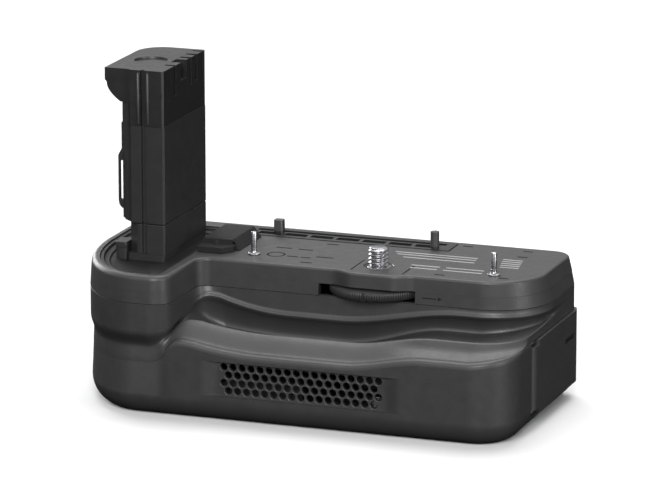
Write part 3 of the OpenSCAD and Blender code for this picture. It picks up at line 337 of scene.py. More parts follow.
def between(i, share, z):
    """A point on the way from the channel under the recess to the lower casing."""
    start = UPPER_PLAN[i] + GROOVE[i] * UPPER_IN[i]
    p = start.lerp(LOWER_PLAN[i], share)
    return Vector((p.x, p.y, z))


def draft_at(i, z):
    return DRAFT[i] * (z - PARTING_Z) / (TOP_Z - PARTING_Z)


def rounded(rings, passes):
    """Cuts the corners between rings, so that the skin through them curves."""
    for _ in range(passes):
        cut = [rings[0]]
        for a, b in zip(rings, rings[1:]):
            cut.append([p.lerp(q, 0.25) for p, q in zip(a, b)])
            cut.append([p.lerp(q, 0.75) for p, q in zip(a, b)])
        cut.append(rings[-1])
        rings = cut
    return rings


# Upper casing

RIM_STEPS = 7
SLOT_EDGE = 0.35
INNER_SLOPE = 0.6
EDGE_NICK = 0.04
BUMP_START = 0.9


def upper_rings():
    rings = [
        [upper_at(i, WALL + DRAFT[i] + INNER_SLOPE, UNDER_Z) for i in POINTS],
        [upper_at(i, WALL, PARTING_Z) for i in POINTS],
        [upper_at(i, EDGE_NICK, PARTING_Z) for i in POINTS],
        [upper_at(i, 0, PARTING_Z + EDGE_NICK) for i in POINTS],
        [upper_at(i, draft_at(i, SLOT_TOP_Z), SLOT_TOP_Z) for i in POINTS],
        [upper_at(i, draft_at(i, SLOT_TOP_Z) - BUMP_START * BUMP[i], SLOT_TOP_Z + EDGE_NICK)
         for i in POINTS],
        [upper_at(i, draft_at(i, SLOT_TOP_Z) - BUMP[i], SLOT_TOP_Z + SLOT_EDGE) for i in POINTS]]
    for step in range(RIM_STEPS + 1):
        a = math.radians(90 * step / RIM_STEPS)
        rings.append([upper_at(i, DRAFT[i] - BUMP[i] + RIM[i] * (1 - math.cos(a)),
                               TOP_Z - RIM[i] * (1 - math.sin(a))) for i in POINTS])
    return rings


CORNER_STEPS = 6


def rounded_slot(x0, x1, y0, y1, r, z_levels, flare=0.0):
    """Rings of a rounded rectangular block whose last level flares out."""
    rings = []
    for k, z in enumerate(z_levels):
        grow = flare if k == len(z_levels) - 1 else 0
        ring = []
        for cx, cy, start in ((x1 - r, y1 - r, 0), (x0 + r, y1 - r, 90), (x0 + r, y0 + r, 180),
                              (x1 - r, y0 + r, 270)):
            for step in range(CORNER_STEPS + 1):
                a = math.radians(start + 90 * step / CORNER_STEPS)
                ring.append((cx + (r + grow) * math.cos(a), cy + (r + grow) * math.sin(a), z))
        rings.append(ring)
    return rings


duct_low, duct_high = box_mm("duct_frame")
WINDOW_LIP = 1.4
WINDOW_X = duct_low.x + WINDOW_LIP
WINDOW_Y = duct_low.y + WINDOW_LIP
WINDOW_W = duct_high.x - duct_low.x - 2 * WINDOW_LIP
WINDOW_D = 10.2
WINDOW_R = 0.6
WINDOW_FLARE = 0.2
PIN_FLANGE_R = 2
PIN_R = 0.95
PIN_XS = (pins_low.x + PIN_FLANGE_R, pins_high.x - PIN_FLANGE_R)
PIN_Y = (pins_low.y + pins_high.y) / 2
LINE_XS = (SCREW_X - 6.5, SCREW_X + 10.7)
LINE_Y = (SCREW_Y - 7.8, SCREW_Y + 5)
LINE_W = 0.5
LINE_DEPTH = 0.3
LINE_R = 0.2
LINE_FLARE = 0.08
BORE_CHAMFER = 0.3

# How far a cutter reaches past what it cuts, in the open and where it ends in a chamfer
REACH = 1
SKIM = 0.05

# Well round the insert's foot, with its seal
WELL_END_Y = box_mm("insert_collar")[1].y
LEDGE_X = box_mm("ledge_block")[0].x
WELL_FLOOR = 0.15
WELL_Z = UNDER_Z + WELL_FLOOR
WELL_IN = 2.7
WELL_LEFT = 3.2
WELL_BACK_R = 6
WELL_STEPS = 8
LEDGE_GAP = 0.3
WELL_RIGHT = WALL_X - LEDGE_X + LEDGE_GAP
SEAL_GAP = 0.04
SEAL_LIFT = 0.01
SEAL_STEPS = (
    (SEAL_GAP, 0.6), (0.3, 0.42), (1.2, 0.45), (1.5, 0.8), (1.6, 1.2), (1.9, 1.35), (3, 1.35),
    (3.3, 1.6), (3.4, 2), (3.8, 2.15))
FOOT_DEPTH = 2.2
FOOT_IN = 0.1
FOOT_R = 0.8


def well_ring(inset, z):
    """Outline of the well round the insert's foot, which follows the grip column's edge."""
    ring = []
    for i in range(N_LEFT, N_LEFT + N_SWEEP + N_FRONT + N_EDGE):
        t = (i - N_LEFT) / N_SWEEP
        end = (i - N_LEFT - N_SWEEP - N_FRONT) / N_EDGE
        edge = WELL_LEFT + (WELL_IN - WELL_LEFT) * ease(t) + (WELL_RIGHT - WELL_IN) * ease(end)
        ring.append(tuple(upper_at(i, edge + inset, z)))
    r = WELL_BACK_R - inset
    x0, x1 = X_LEFT + WELL_LEFT + WELL_BACK_R, WALL_X - WELL_RIGHT - WELL_BACK_R
    y = WELL_END_Y - WELL_BACK_R
    for cx, start in ((x1, 0), (x0, 90)):
        for k in range(WELL_STEPS + 1):
            a = math.radians(start + 90 * k / WELL_STEPS)
            ring.append((cx + r * math.cos(a), y + r * math.sin(a), z))
    return ring


def make_collar():
    """The stepped seal that lines the well, by insets from its edge and depths under the top."""
    rings = [well_ring(SEAL_GAP, WELL_Z + SEAL_LIFT)]
    rings += [well_ring(inset, TOP_Z - depth) for inset, depth in SEAL_STEPS]
    return skin("insert_collar_seal", rings)


def make_foot():
    """The lower ends of the insert and its key, down to the floor of the well."""
    ends = []
    for node in ("insert_base", "insert_key"):
        low, high = box_mm(node)
        ends.append(rounded_slot(low.x + FOOT_IN, high.x - FOOT_IN, low.y + FOOT_IN, high.y - FOOT_IN,
                                 FOOT_R, (TOP_Z - FOOT_DEPTH, low.z + FOOT_IN)))
    return skins("insert_foot", ends)


cap_low, cap_high = box_mm("insert_cap")
column_low, column_high = box_mm("insert_column")
FLUTE_X = column_high.x - 7.1
CAP_RIB_XS = (FLUTE_X - 1.5, FLUTE_X + 1.7)
CAP_RIB_Y = cap_low.y + 0.12
CAP_RIB_R = 0.5
CAP_RIB_SIDES = 20
CAP_RIB_STEPS = (
    (0.3, cap_low.z + 0.3), (CAP_RIB_R, cap_low.z + 0.6), (CAP_RIB_R, cap_high.z - 1.2),
    (0.2, cap_high.z - 0.7))
SIDE_STRIP_CORNER = 3.4
SIDE_STRIP_T = 0.45
SIDE_STRIP_LOW = column_low.z + 1
SIDE_STRIP_TOP = cap_low.z + 10.2
SIDE_STRIP_STEPS = 8
SIDE_STRIP_LAYERS = ((-1, 1), (0.8, 1), (1, 0.94))


def make_ribs():
    """Two half-round ribs beside the flute of the cap."""
    return skins("cap_ribs", [lathe(x, CAP_RIB_Y, CAP_RIB_STEPS, CAP_RIB_SIDES) for x in CAP_RIB_XS])


def make_strip():
    """A flat strip with a rounded top on the insert's bevelled left corner."""
    start = Vector((column_low.x - 0.3, column_low.y + SIDE_STRIP_CORNER + 0.2, 0))
    end = Vector((column_low.x + SIDE_STRIP_CORNER - 0.9, column_low.y + 0.75, 0))
    out = Vector((start.y - end.y, end.x - start.x, 0)).normalized() * -SIDE_STRIP_T
    width = (end - start).length
    outline = [(0, SIDE_STRIP_LOW), (1, SIDE_STRIP_LOW)]
    for k in range(SIDE_STRIP_STEPS + 1):
        a = math.pi * k / SIDE_STRIP_STEPS
        outline.append((0.5 + 0.5 * math.cos(a), SIDE_STRIP_TOP + 0.5 * width * math.sin(a)))
    rings = []
    for lift, share in SIDE_STRIP_LAYERS:
        ring = []
        for across, z in outline:
            p = start.lerp(end, 0.5 + (across - 0.5) * share) + out * lift
            ring.append((p.x, p.y, z))
        rings.append(ring)
    return skin("insert_strip", rings)


def make_upper_shell():
    shell = skin("upper_shell_skin", upper_rings())
    window = rounded_slot(WINDOW_X, WINDOW_X + WINDOW_W, WINDOW_Y, WINDOW_Y + WINDOW_D, WINDOW_R,
                          (UNDER_Z - REACH, TOP_Z - WINDOW_FLARE, TOP_Z + SKIM), WINDOW_FLARE)
    bush = lathe(SCREW_X, SCREW_Y, [(BUSH_R, PARTING_Z - REACH), (BUSH_R, TOP_Z + SKIM - BORE_CHAMFER),
                                    (BUSH_R + BORE_CHAMFER, TOP_Z + SKIM)])
    slot = block((SLOT_X - SLOT_W / 2, RECESS_Y - BUMP_DEPTH - REACH, PARTING_Z - REACH),
                 (SLOT_X + SLOT_W / 2, RECESS_Y + WALL + 2 * REACH, SLOT_TOP_Z))
    pins = [lathe(x, PIN_Y, [(PIN_R, UNDER_Z - REACH), (PIN_R, TOP_Z + REACH)]) for x in PIN_XS]
    lines = [rounded_slot(x - LINE_W / 2, x + LINE_W / 2, LINE_Y[0], LINE_Y[1], LINE_R,
                          (TOP_Z - LINE_DEPTH, TOP_Z + SKIM), LINE_FLARE) for x in LINE_XS]
    carve(shell, window, bush, *pins, *lines)
    carve(shell, slot)
    carve(shell, [well_ring(0, WELL_Z), well_ring(0, TOP_Z + REACH)])
    return shell


# Lower casing

LIP_TOP = 1.8
FRONT_ROUND = 2.0
BOTTOM_STEPS = 10
BLEND_PASSES = 60
BLEND_PAST = 6
HOLLOW_DEPTH = 1.7
HOLLOW_FOOT = 1.2
HOLLOW_START, HOLLOW_RISE = 0.08, 0.45
HOLLOW_TURN, HOLLOW_RETURN = 0.45, 0.55
PLAN_SPEED = 1.8
INNER_FOOT = ((3, 0), (0.9, 1.8))

# Steps of the front's profile from the lip down
# Lip: share of its overhang, height over the edge
LIP_STEPS = ((0, LIP_TOP), (0.12, 1.4), (0.5, 0.95), (0.52, 0.7), (0.95, 0.4), (1, 0.1))
# Channel's wall: share of its depth, share of the lip's overhang, share of the drop
WALL_STEPS = ((0.06, 0.75, 0.07), (0.35, 0, 0.2), (0.8, 0, 0.5), (1, 0, 0.78))
# In the next five tables the first number is the share of the way to the lower casing
# Channel's floor: share of the drop
FLOOR_STEPS = ((0.02, 0.06), (0.1, 0))
# Rise to the crest: share of the rise
RISE_STEPS = ((0.26, 0.05), (0.42, 0.3), (0.55, 0.68), (0.63, 0.9))
# Top of the crest: millimetres under it
CREST_STEPS = ((0.68, 0.05), (0.7, 0))
# Fall from the crest: share of the fall, and what is added where the front is flat
FALL_STEPS = (
    (0.72, 0.06, 0.05), (0.755, 0.2, 0.24), (0.8, 0.44, 0.24), (0.85, 0.73, 0.1), (0.885, 0.93, 0))
# Shelf: millimetres over it
SHELF_STEPS = ((0.905, 0.03), (0.93, 0.1))
# Front edge: inset from the lower plan, millimetres over the shelf
FRONT_STEPS = ((1.3, 0.02), (0.6, -0.22), (0.15, -0.75), (0, -FRONT_ROUND))


def front_profile(i):
    """The front from the foot of the recess over lip, channel and crest down to the lower face."""
    edge, valley, crest, shelf = EDGE[i], VALLEY[i] - CHANNEL_DIP[i], CREST[i], SHELF[i]
    drop, rise, fall = edge - valley, crest - valley, crest - shelf
    flat, groove, lip, step = FLAT[i], GROOVE[i], LIP[i], STEP_IN[i]
    points = [upper_at(i, -share * lip, edge + lift) for share, lift in LIP_STEPS]
    points += [upper_at(i, share * groove - out * lip, edge - down * drop)
               for share, out, down in WALL_STEPS]
    points += [between(i, share, valley + up * drop) for share, up in FLOOR_STEPS]
    points += [between(i, share, valley + up * rise) for share, up in RISE_STEPS]
    points += [between(i, share, crest - under) for share, under in CREST_STEPS]
    points += [between(i, share, crest - (down + more * flat) * fall) for share, down, more in FALL_STEPS]
    points += [between(i, share, shelf + over) for share, over in SHELF_STEPS]
    points += [lower_at(i, inset * step, shelf + over) for inset, over in FRONT_STEPS]
    return points


def hollow_depth(t):
    """Depth of the soft hollow under the grip column, from its upper to its lower end."""
    gain = HOLLOW_DEPTH * ease((t - HOLLOW_START) / HOLLOW_RISE)
    return gain - (HOLLOW_DEPTH - HOLLOW_FOOT) * ease((t - HOLLOW_TURN) / HOLLOW_RETURN)


def plain_profile(i, count):
    """A gentle step from the upper to the lower plan, where there is no recess."""
    high, low = EDGE[i] + LIP_TOP, SHELF[i] - FRONT_ROUND
    points = []
    for k in range(count):
        t = k / (count - 1)
        p = UPPER_PLAN[i].lerp(LOWER_PLAN[i], ease(PLAN_SPEED * t))
        p += hollow_depth(t) * HOLLOW[i] * LOWER_IN[i]
        points.append(Vector((p.x, p.y, high + (low - high) * t)))
    return points


def front_rings():
    """Rings over the outside from the parting line to the lower front, blended round the column."""
    profiles = []
    for i in POINTS:
        front = front_profile(i)
        plain = plain_profile(i, len(front))
        share = ease(STEP_IN[i])
        profiles.append([a.lerp(b, share) for a, b in zip(plain, front)])
    for _ in range(BLEND_PASSES):
        for i in range(FIRST_RECESS - N_INNER - N_WALL - N_EDGE, FIRST_RECESS + BLEND_PAST):
            around = zip(profiles[i - 1], profiles[i], profiles[i + 1])
            profiles[i] = [(a + 2 * b + c) / 4 for a, b, c in around]
    return rounded([list(ring) for ring in zip(*profiles)], 1)


def lower_rings():
    rings = [[lower_at(i, WALL + inset, FLOOR_T + up) for i in POINTS] for inset, up in INNER_FOOT]
    rings += [
        [lower_at(i, WALL, BOTTOM_R) for i in POINTS],
        [lower_at(i, WALL + HOLLOW[i], SHELF[i] - 2 * WALL) for i in POINTS],
        [upper_at(i, WALL + GROOVE[i] + 3 * HOLLOW[i], VALLEY[i] - WALL - CHANNEL_DIP[i]) for i in POINTS],
        [upper_at(i, WALL + GROOVE[i] + HOLLOW[i], (VALLEY[i] + EDGE[i]) / 2) for i in POINTS],
        [upper_at(i, WALL, EDGE[i] + 1) for i in POINTS],
        [upper_at(i, WALL, PARTING_Z) for i in POINTS],
        [upper_at(i, SEAM_IN, PARTING_Z) for i in POINTS],
        [upper_at(i, SEAM_IN, PARTING_Z - SEAM) for i in POINTS],
        [upper_at(i, EDGE_NICK, PARTING_Z - SEAM) for i in POINTS],
        [upper_at(i, 0, PARTING_Z - SEAM - EDGE_NICK) for i in POINTS]]
    rings += front_rings()
    for step in range(BOTTOM_STEPS + 1):
        a = math.radians(90 * step / BOTTOM_STEPS)
        rings.append([lower_at(i, BOTTOM_R * (1 - math.cos(a)), BOTTOM_R * (1 - math.sin(a)))
                      for i in POINTS])
    return rings


grille_low, grille_high = box_mm("vent_grille")
GRILLE_GAP = 0.1
GRILLE_X = (grille_low.x + grille_high.x) / 2
GRILLE_Z = (grille_low.z + grille_high.z) / 2
GRILLE_W = grille_high.x - grille_low.x + 2 * GRILLE_GAP
GRILLE_H = grille_high.z - grille_low.z + 2 * GRILLE_GAP
GRILLE_FLARE = 5.6
FLARE_STEPS = 8
door_low, door_high = box_mm("battery_door")
DOOR_GAP = 0.3
socket_low, socket_high = box_mm("tripod_socket")
SOCKET_R = (socket_high.x - socket_low.x) / 2
HEAD_R = 2.4
HEAD_SINK = 1.6
POST_BORE = 1.1
BORE_OVERLAP = 0.5
POSTS = ((X_LEFT + 9.5, Y_BACK - 18), (X_LEFT + 14, Y_FRONT + 22), (-6.8, 13.6))


def grille_pocket():
    """The shallow pocket round the grille, whose ends run out to the surface."""
    out = GRILLE_W / 2 + GRILLE_FLARE
    depth = grille_low.y - SHELF_Y
    flare = [(out - GRILLE_FLARE * k / FLARE_STEPS, SHELF_Y + depth * ease(k / FLARE_STEPS))
             for k in range(FLARE_STEPS + 1)]
    plan = [(-out, SHELF_Y - REACH), (out, SHELF_Y - REACH)] + flare + [(-x, y) for x, y in reversed(flare)]
    levels = (GRILLE_Z - GRILLE_H / 2, GRILLE_Z + GRILLE_H / 2)
    return [[(GRILLE_X + x, y, z) for x, y in plan] for z in levels]


def base_bore(x, y, r, depth):
    """A chamfered bore from the underside."""
    return lathe(x, y, [(r + BORE_CHAMFER, -SKIM), (r, BORE_CHAMFER - SKIM), (r, depth)])


def make_lower_shell():
    shell = skin("lower_shell_skin", lower_rings())
    door = block((X_RIGHT - BACK_RIGHT_R, door_low.y - 2 * DOOR_GAP, door_low.z - DOOR_GAP),
                 (X_RIGHT + REACH, door_high.y + DOOR_GAP, door_high.z + DOOR_GAP))
    socket = base_bore(SCREW_X, SCREW_Y, SOCKET_R, FLOOR_T + REACH)
    heads = [base_bore(x, y, HEAD_R, HEAD_SINK) for x, y in POSTS]
    carve(shell, grille_pocket(), door, socket, *heads)
    window = block((GRILLE_X - GRILLE_W / 2, SHELF_Y - REACH, GRILLE_Z - GRILLE_H / 2),
                   (GRILLE_X + GRILLE_W / 2, SHELF_Y + WALL + REACH, GRILLE_Z + GRILLE_H / 2))
    bore = ((POST_BORE, HEAD_SINK - BORE_OVERLAP), (POST_BORE, FLOOR_T + REACH))
    bores = [lathe(x, y, bore) for x, y in POSTS]
    carve(shell, window, *bores)
    return shell


# Intake grille with staggered round holes

GRILLE_ROWS = 4
GRILLE_RIM = 0.6
GRILLE_HOLE_R = 1.175
GRILLE_PITCH = 3
HOLE_EDGE = 0.18
HOLE_SIDES = 24
GRILLE_HOLD = GRILLE_GAP + HOLE_EDGE


def flat_spline(curve, points):
    spline = curve.splines.new("POLY")
    spline.points.add(len(points) - 1)
    for spot, (x, y) in zip(spline.points, points):
        spot.co = (x * MM, y * MM, 0, 1)
    spline.use_cyclic_u = True


def plate(name, outlines, thickness, edge):
    """A flat plate with rounded edges from a closed outline and the outlines of its holes."""
    curve = bpy.data.curves.new(name, "CURVE")
    curve.dimensions = "2D"
    curve.fill_mode = "BOTH"
    curve.extrude = (thickness / 2 - edge) * MM
    curve.bevel_depth = edge * MM
    curve.bevel_resolution = 2
    curve.offset = -edge * MM
    for outline in outlines:
        flat_spline(curve, outline)
    obj = bpy.data.objects.new(name, curve)
    bpy.context.scene.collection.objects.link(obj)
    graph = bpy.context.evaluated_depsgraph_get()
    mesh = bpy.data.meshes.new_from_object(obj.evaluated_get(graph))
    bpy.data.objects.remove(obj)
    made = bpy.data.objects.new(name, mesh)
    bpy.context.scene.collection.objects.link(made)
    return made


def make_grille():
    w, h = grille_high.x - grille_low.x, grille_high.z - grille_low.z
    x_out, z_out = w / 2 + GRILLE_HOLD, h / 2 + GRILLE_HOLD
    outlines = [[(-x_out, -z_out), (x_out, -z_out), (x_out, z_out), (-x_out, z_out)]]
    room = w + 2 * GRILLE_GAP - 2 * GRILLE_RIM - 2 * GRILLE_HOLE_R
    most = math.floor(room / GRILLE_PITCH) + 1
    rise = (h + 2 * GRILLE_GAP - 2 * GRILLE_RIM - 2 * GRILLE_HOLE_R) / (GRILLE_ROWS - 1)
    for row in range(GRILLE_ROWS):
        count = most - row % 2
        z = ((GRILLE_ROWS - 1) / 2 - row) * rise
        for k in range(count):
            x = (k - (count - 1) / 2) * GRILLE_PITCH
            outlines.append([(px, pz) for px, pz, _ in circle(x, z, 0, GRILLE_HOLE_R, HOLE_SIDES)])
    thickness = grille_high.y - grille_low.y
    obj = plate("vent_grille_plate", outlines, thickness, HOLE_EDGE)
    for vertex in obj.data.vertices:
        x, z, y = vertex.co
        vertex.co = (x + GRILLE_X * MM, (grille_low.y + grille_high.y) / 2 * MM - y, z + GRILLE_Z * MM)
    shade(obj.data, FINE_ANGLE)
    return obj


# Lock wheel with fine ribs and an index line

WHEEL_RIBS = 120
RIB_DEPTH = 0.22
RIB_SAMPLES = 6
WHEEL_EDGE = 0.45
WHEEL_NICK = 0.12
WHEEL_BAND = 0.8
WHEEL_FACE = 1.6
WHEEL_BORE = 1.5
EDGE_RIB = 0.2
INDEX_HALF = 0.35
INDEX_DEPTH = 0.5


def make_wheel():
    low, high = wheel_low.z, wheel_high.z
    half = [(WHEEL_BORE, 0, 0), (WHEEL_R - WHEEL_FACE, 0, 0), (WHEEL_R - WHEEL_EDGE, WHEEL_NICK, EDGE_RIB),
            (WHEEL_R - WHEEL_NICK, WHEEL_EDGE, 1), (WHEEL_R, WHEEL_BAND, 1)]
    profile = [(r, low + lift, share) for r, lift, share in half]
    profile += [(r, high - lift, share) for r, lift, share in reversed(half)]
    count = WHEEL_RIBS * RIB_SAMPLES
    rings = []
    for r, z, share in profile:
        ring = []
        for k in range(count):
            a = 2 * math.pi * k / count - math.pi / 2
            rib = RIB_DEPTH * (0.5 - 0.5 * math.cos(2 * math.pi * k / RIB_SAMPLES))
            from_index = min(k, count - k) * 2 * math.pi / count * WHEEL_R
            cut = INDEX_DEPTH if from_index < INDEX_HALF else rib
            ring.append((SCREW_X + (r - share * cut) * math.cos(a),
                         SCREW_Y + (r - share * cut) * math.sin(a), z))
        rings.append(ring)
    return tube("lock_wheel_ribbed", rings, FINE_ANGLE)


# Tripod screw with a real helix

THREAD_PITCH = 1.27
THREAD_DEPTH = 0.62
THREAD_STEP = 0.06
THREAD_SIDES = 72
SCREW_R = 3.175
JOURNAL_R = 1.5
SHANK_R = (screw_high.x - screw_low.x) / 2
BUSH_SINK = 0.3
TIP = 1.0
RELIEF = 0.4
STEP_H = 0.01
NECK = 0.1
FLANK = 2.6
CREST_FLAT = 0.15


def make_screw():
    top = screw_high.z
    bush_z = TOP_Z - BUSH_SINK
    rows = [(screw_low.z, JOURNAL_R), (wheel_high.z, JOURNAL_R), (wheel_high.z + STEP_H, SHANK_R),
            (bush_z - NECK, SHANK_R), (bush_z, SHANK_R - NECK), (bush_z + STEP_H, SCREW_R - THREAD_DEPTH)]
    thread_low = TOP_Z + NECK
    steps = int((top - thread_low) / THREAD_STEP)
    rows += [(thread_low + (top - thread_low) * k / steps, SCREW_R) for k in range(steps + 1)]
    rings = []
    for z, r in rows:
        ring = []
        for k in range(THREAD_SIDES):
            a = 2 * math.pi * k / THREAD_SIDES
            radius = r
            if z >= thread_low:
                phase = (z / THREAD_PITCH - k / THREAD_SIDES) % 1
                depth = THREAD_DEPTH * min(1, max(0, FLANK * abs(phase - 0.5) - CREST_FLAT))
                cap = SCREW_R - TIP + math.sqrt(max(0, TIP ** 2 - max(0, z - top + TIP) ** 2))
                start = SCREW_R - THREAD_DEPTH + (z - thread_low) / RELIEF * THREAD_DEPTH
                radius = min(r - depth, cap, start)
            ring.append((SCREW_X + radius * math.cos(a), SCREW_Y + radius * math.sin(a), z))
        rings.append(ring)
    return skin("tripod_screw_thread", rings, THREAD_ANGLE)


# Radii of a pin, by heights over the top plate and by depths under its tip
PIN_FOOT = (
    (PIN_FLANGE_R - 0.1, 0), (PIN_FLANGE_R, 0.1), (PIN_FLANGE_R, 0.4), (PIN_FLANGE_R - 0.15, 0.5),
    (PIN_R + 0.25, 0.55), (PIN_R + 0.05, 0.8), (PIN_R, 1.1), (PIN_R, 1.9), (PIN_R - 0.08, 2),
    (PIN_R - 0.08, 2.2), (PIN_R, 2.3))
PIN_SIDES = 40
PIN_TIP = ((PIN_R, 0.5), (PIN_R - 0.1, 0.2), (PIN_R - 0.4, 0.02), (0.1, 0))


def make_pins():
    profile = [(PIN_R, pins_low.z), (PIN_R, TOP_Z)]
    profile += [(r, TOP_Z + up) for r, up in PIN_FOOT]
    profile += [(r, pins_high.z - down) for r, down in PIN_TIP]
    return skins("locating_pins_turned", [lathe(x, PIN_Y, profile, PIN_SIDES) for x in PIN_XS])


# Plain arrow beside the wheel, a thin dark layer whose colour is painted shade standing for an engraved
# arrow

ARROW_X = SLOT_X + SLOT_W / 2 + 2.4
ARROW_Z = 39.2
ARROW_DEPTH = 0.06
ARROW_SHAFT = ((0, -0.16), (4.6, -0.16), (4.6, 0.16), (0, 0.16))
ARROW_HEAD = ((5.2, -0.62), (6.4, 0), (5.2, 0.62))
INK_ROOT = 0.1


def make_arrow():
    face = RECESS_Y + draft_at(FIRST_RECESS, ARROW_Z)
    shapes = []
    for shape in (ARROW_SHAFT, ARROW_HEAD):
        shapes.append([[(ARROW_X + x, face - lift, ARROW_Z + z) for x, z in shape]
                       for lift in (-INK_ROOT, ARROW_DEPTH)])
    return skins("turn_arrow", shapes)


# Plain bars and marks where the top plate carries its label

LABEL_BARS = (
    (18.8, 46.2, 18.8), (20.2, 46.5, 16.2), (23.2, 47, 13), (29, 38.5, 4.2), (40.5, 53, 4.2),
    (29.6, 38.5, 0.9), (40.5, 53.4, 0.9), (54, 60.6, 20.4), (54.4, 61, 18), (54.9, 61.4, 15.6),
    (55.4, 61.8, 13.2), (55.9, 62.2, 10.8))
DARK_BARS = (
    (39.7, 43, -5), (59.9, 63.2, -2.6), (57.1, 60.6, 25.2), (36.6, 40, 32.8), (56.8, 60, 32.6),
    (-18.8, -13.6, 11.4), (-11.3, -6.4, 11.2), (-11.7, -8, 1.6), (-7.1, -3.7, 1.6), (-2.6, 3.2, 3.8),
    (-5.2, -1.2, -4.3), (-5.1, -1.1, 20.7))
BAR_W = 0.9
BAR_R = 0.3
INK = 0.03
RING_X, RING_Y = -15.7, 2.5
RING_INNER, RING_OUTER = 2.4, 3


def make_bars(name, bars):
    """Flat bars from their two ends in x and their place in y."""
    levels = (TOP_Z - INK_ROOT, TOP_Z + INK)
    solids = [rounded_slot(x0, x1, y - BAR_W / 2, y + BAR_W / 2, BAR_R, levels) for x0, x1, y in bars]
    return skins(name, solids)


def make_ring():
    low, high = TOP_Z - INK_ROOT, TOP_Z + INK
    profile = ((RING_INNER, low), (RING_OUTER, low), (RING_OUTER, high), (RING_INNER, high))
    return tube("plain_ring", lathe(RING_X, RING_Y, profile))


# Materials

def linear(value):
    """A display grey from 0 to 255 as scene light."""
    v = value / 255
    return v / 12.92 if v <= 0.04045 else ((v + 0.055) / 1.055) ** 2.4


def colour(r, g, b):
    return (linear(r), linear(g), linear(b), 1)


class Nodes:
    """A material's node tree, with short calls for what the materials here share."""

    def __init__(self, name):
        self.material = bpy.data.materials.new(name)
        self.material.use_nodes = True
        self.tree = self.material.node_tree
        self.shader = self.tree.nodes["Principled BSDF"]
        self.place = self.add("ShaderNodeTexCoord").outputs["Object"]

    def add(self, kind, **inputs):
        node = self.tree.nodes.new(kind)
        for key, value in inputs.items():
            node.inputs[key.replace("_", " ")].default_value = value
        return node

    def link(self, source, target):
        self.tree.links.new(source, target)

    def noise(self, size, detail=2.0, roughness=0.5):
        """Noise with features of about that size in millimetres."""
        node = self.add("ShaderNodeTexNoise", Scale=1 / (size * MM), Detail=detail, Roughness=roughness)
        self.link(self.place, node.inputs["Vector"])
        return node.outputs["Fac"]

    def ramp(self, source, stops):
        node = self.tree.nodes.new("ShaderNodeValToRGB")
        while len(node.color_ramp.elements) < len(stops):
            node.color_ramp.elements.new(0.5)
        for element, (position, value) in zip(node.color_ramp.elements, stops):
            element.position = position
            element.color = value
        self.link(source, node.inputs["Fac"])
        return node.outputs["Color"]

    def spread(self, source, low, high):
        """Maps noise to a range of values."""
        node = self.add("ShaderNodeMapRange", From_Min=0.3, From_Max=0.7, To_Min=low, To_Max=high)
        self.link(source, node.inputs["Value"])
        return node.outputs["Result"]

    def bump(self, source, depth):
        """Relief of that depth in millimetres."""
        node = self.add("ShaderNodeBump", Strength=1.0, Distance=depth * MM)
        self.link(source, node.inputs["Height"])
        self.link(node.outputs["Normal"], self.shader.inputs["Normal"])


# Sizes of the uneven patches, in millimetres, and how much the gloss differs between them
CLOUD = 9
GLOSS_PATCH = 2.5
GLOSS_SPREAD = 0.04


def tones(base, spread):
    """Stops from a slightly darker to a slightly lighter tone of a colour."""
    dark = tuple(c * (1 - spread) for c in base[:3]) + (1,)
    light = tuple(c * (1 + spread) for c in base[:3]) + (1,)
    return [(0.3, dark), (0.7, light)]


def moulded(name, roughness, grain, depth, specular):
    """Moulded plastic as yet without colour: fine eroded grain and uneven gloss."""
    n = Nodes(name)
    n.shader.inputs["Specular IOR Level"].default_value = specular
    gloss = n.spread(n.noise(GLOSS_PATCH, 3), roughness - GLOSS_SPREAD, roughness + GLOSS_SPREAD)
    n.link(gloss, n.shader.inputs["Roughness"])
    n.bump(n.noise(grain, 3, 0.6), depth)
    return n


def plastic(name, base, roughness, grain, depth, specular=0.5):
    """Moulded plastic of one colour, slightly cloudy."""
    n = moulded(name, roughness, grain, depth, specular)
    n.link(n.ramp(n.noise(CLOUD, 3), tones(base, 0.07)), n.shader.inputs["Base Color"])
    return n.material


def metal(name, base, roughness, brushed):
    """Turned or plated metal with fine marks."""
    n = Nodes(name)
    n.shader.inputs["Metallic"].default_value = 1
    n.link(n.ramp(n.noise(1.5, 3), tones(base, 0.08)), n.shader.inputs["Base Color"])
    n.link(n.spread(n.noise(0.4, 2), roughness - 0.06, roughness + 0.08), n.shader.inputs["Roughness"])
    n.bump(n.noise(brushed, 2), 0.004)
    return n.material


def painted_shade_strip_plastic(name, low, high, level):
    """Plastic painted black below a height, as painted shade down in the window's gap, and dark grey above
    it on the dowels.
    """
    n = moulded(name, 0.42, 0.4, 0.012, 0.4)
    height = n.add("ShaderNodeSeparateXYZ")
    n.link(n.place, height.inputs["Vector"])
    step = n.add("ShaderNodeMapRange", From_Min=(level - 0.1) * MM, From_Max=(level + 0.1) * MM)
    n.link(height.outputs["Z"], step.inputs["Value"])
    n.link(n.ramp(step.outputs["Result"], [(0.0, low), (1.0, high)]), n.shader.inputs["Base Color"])
    return n.material


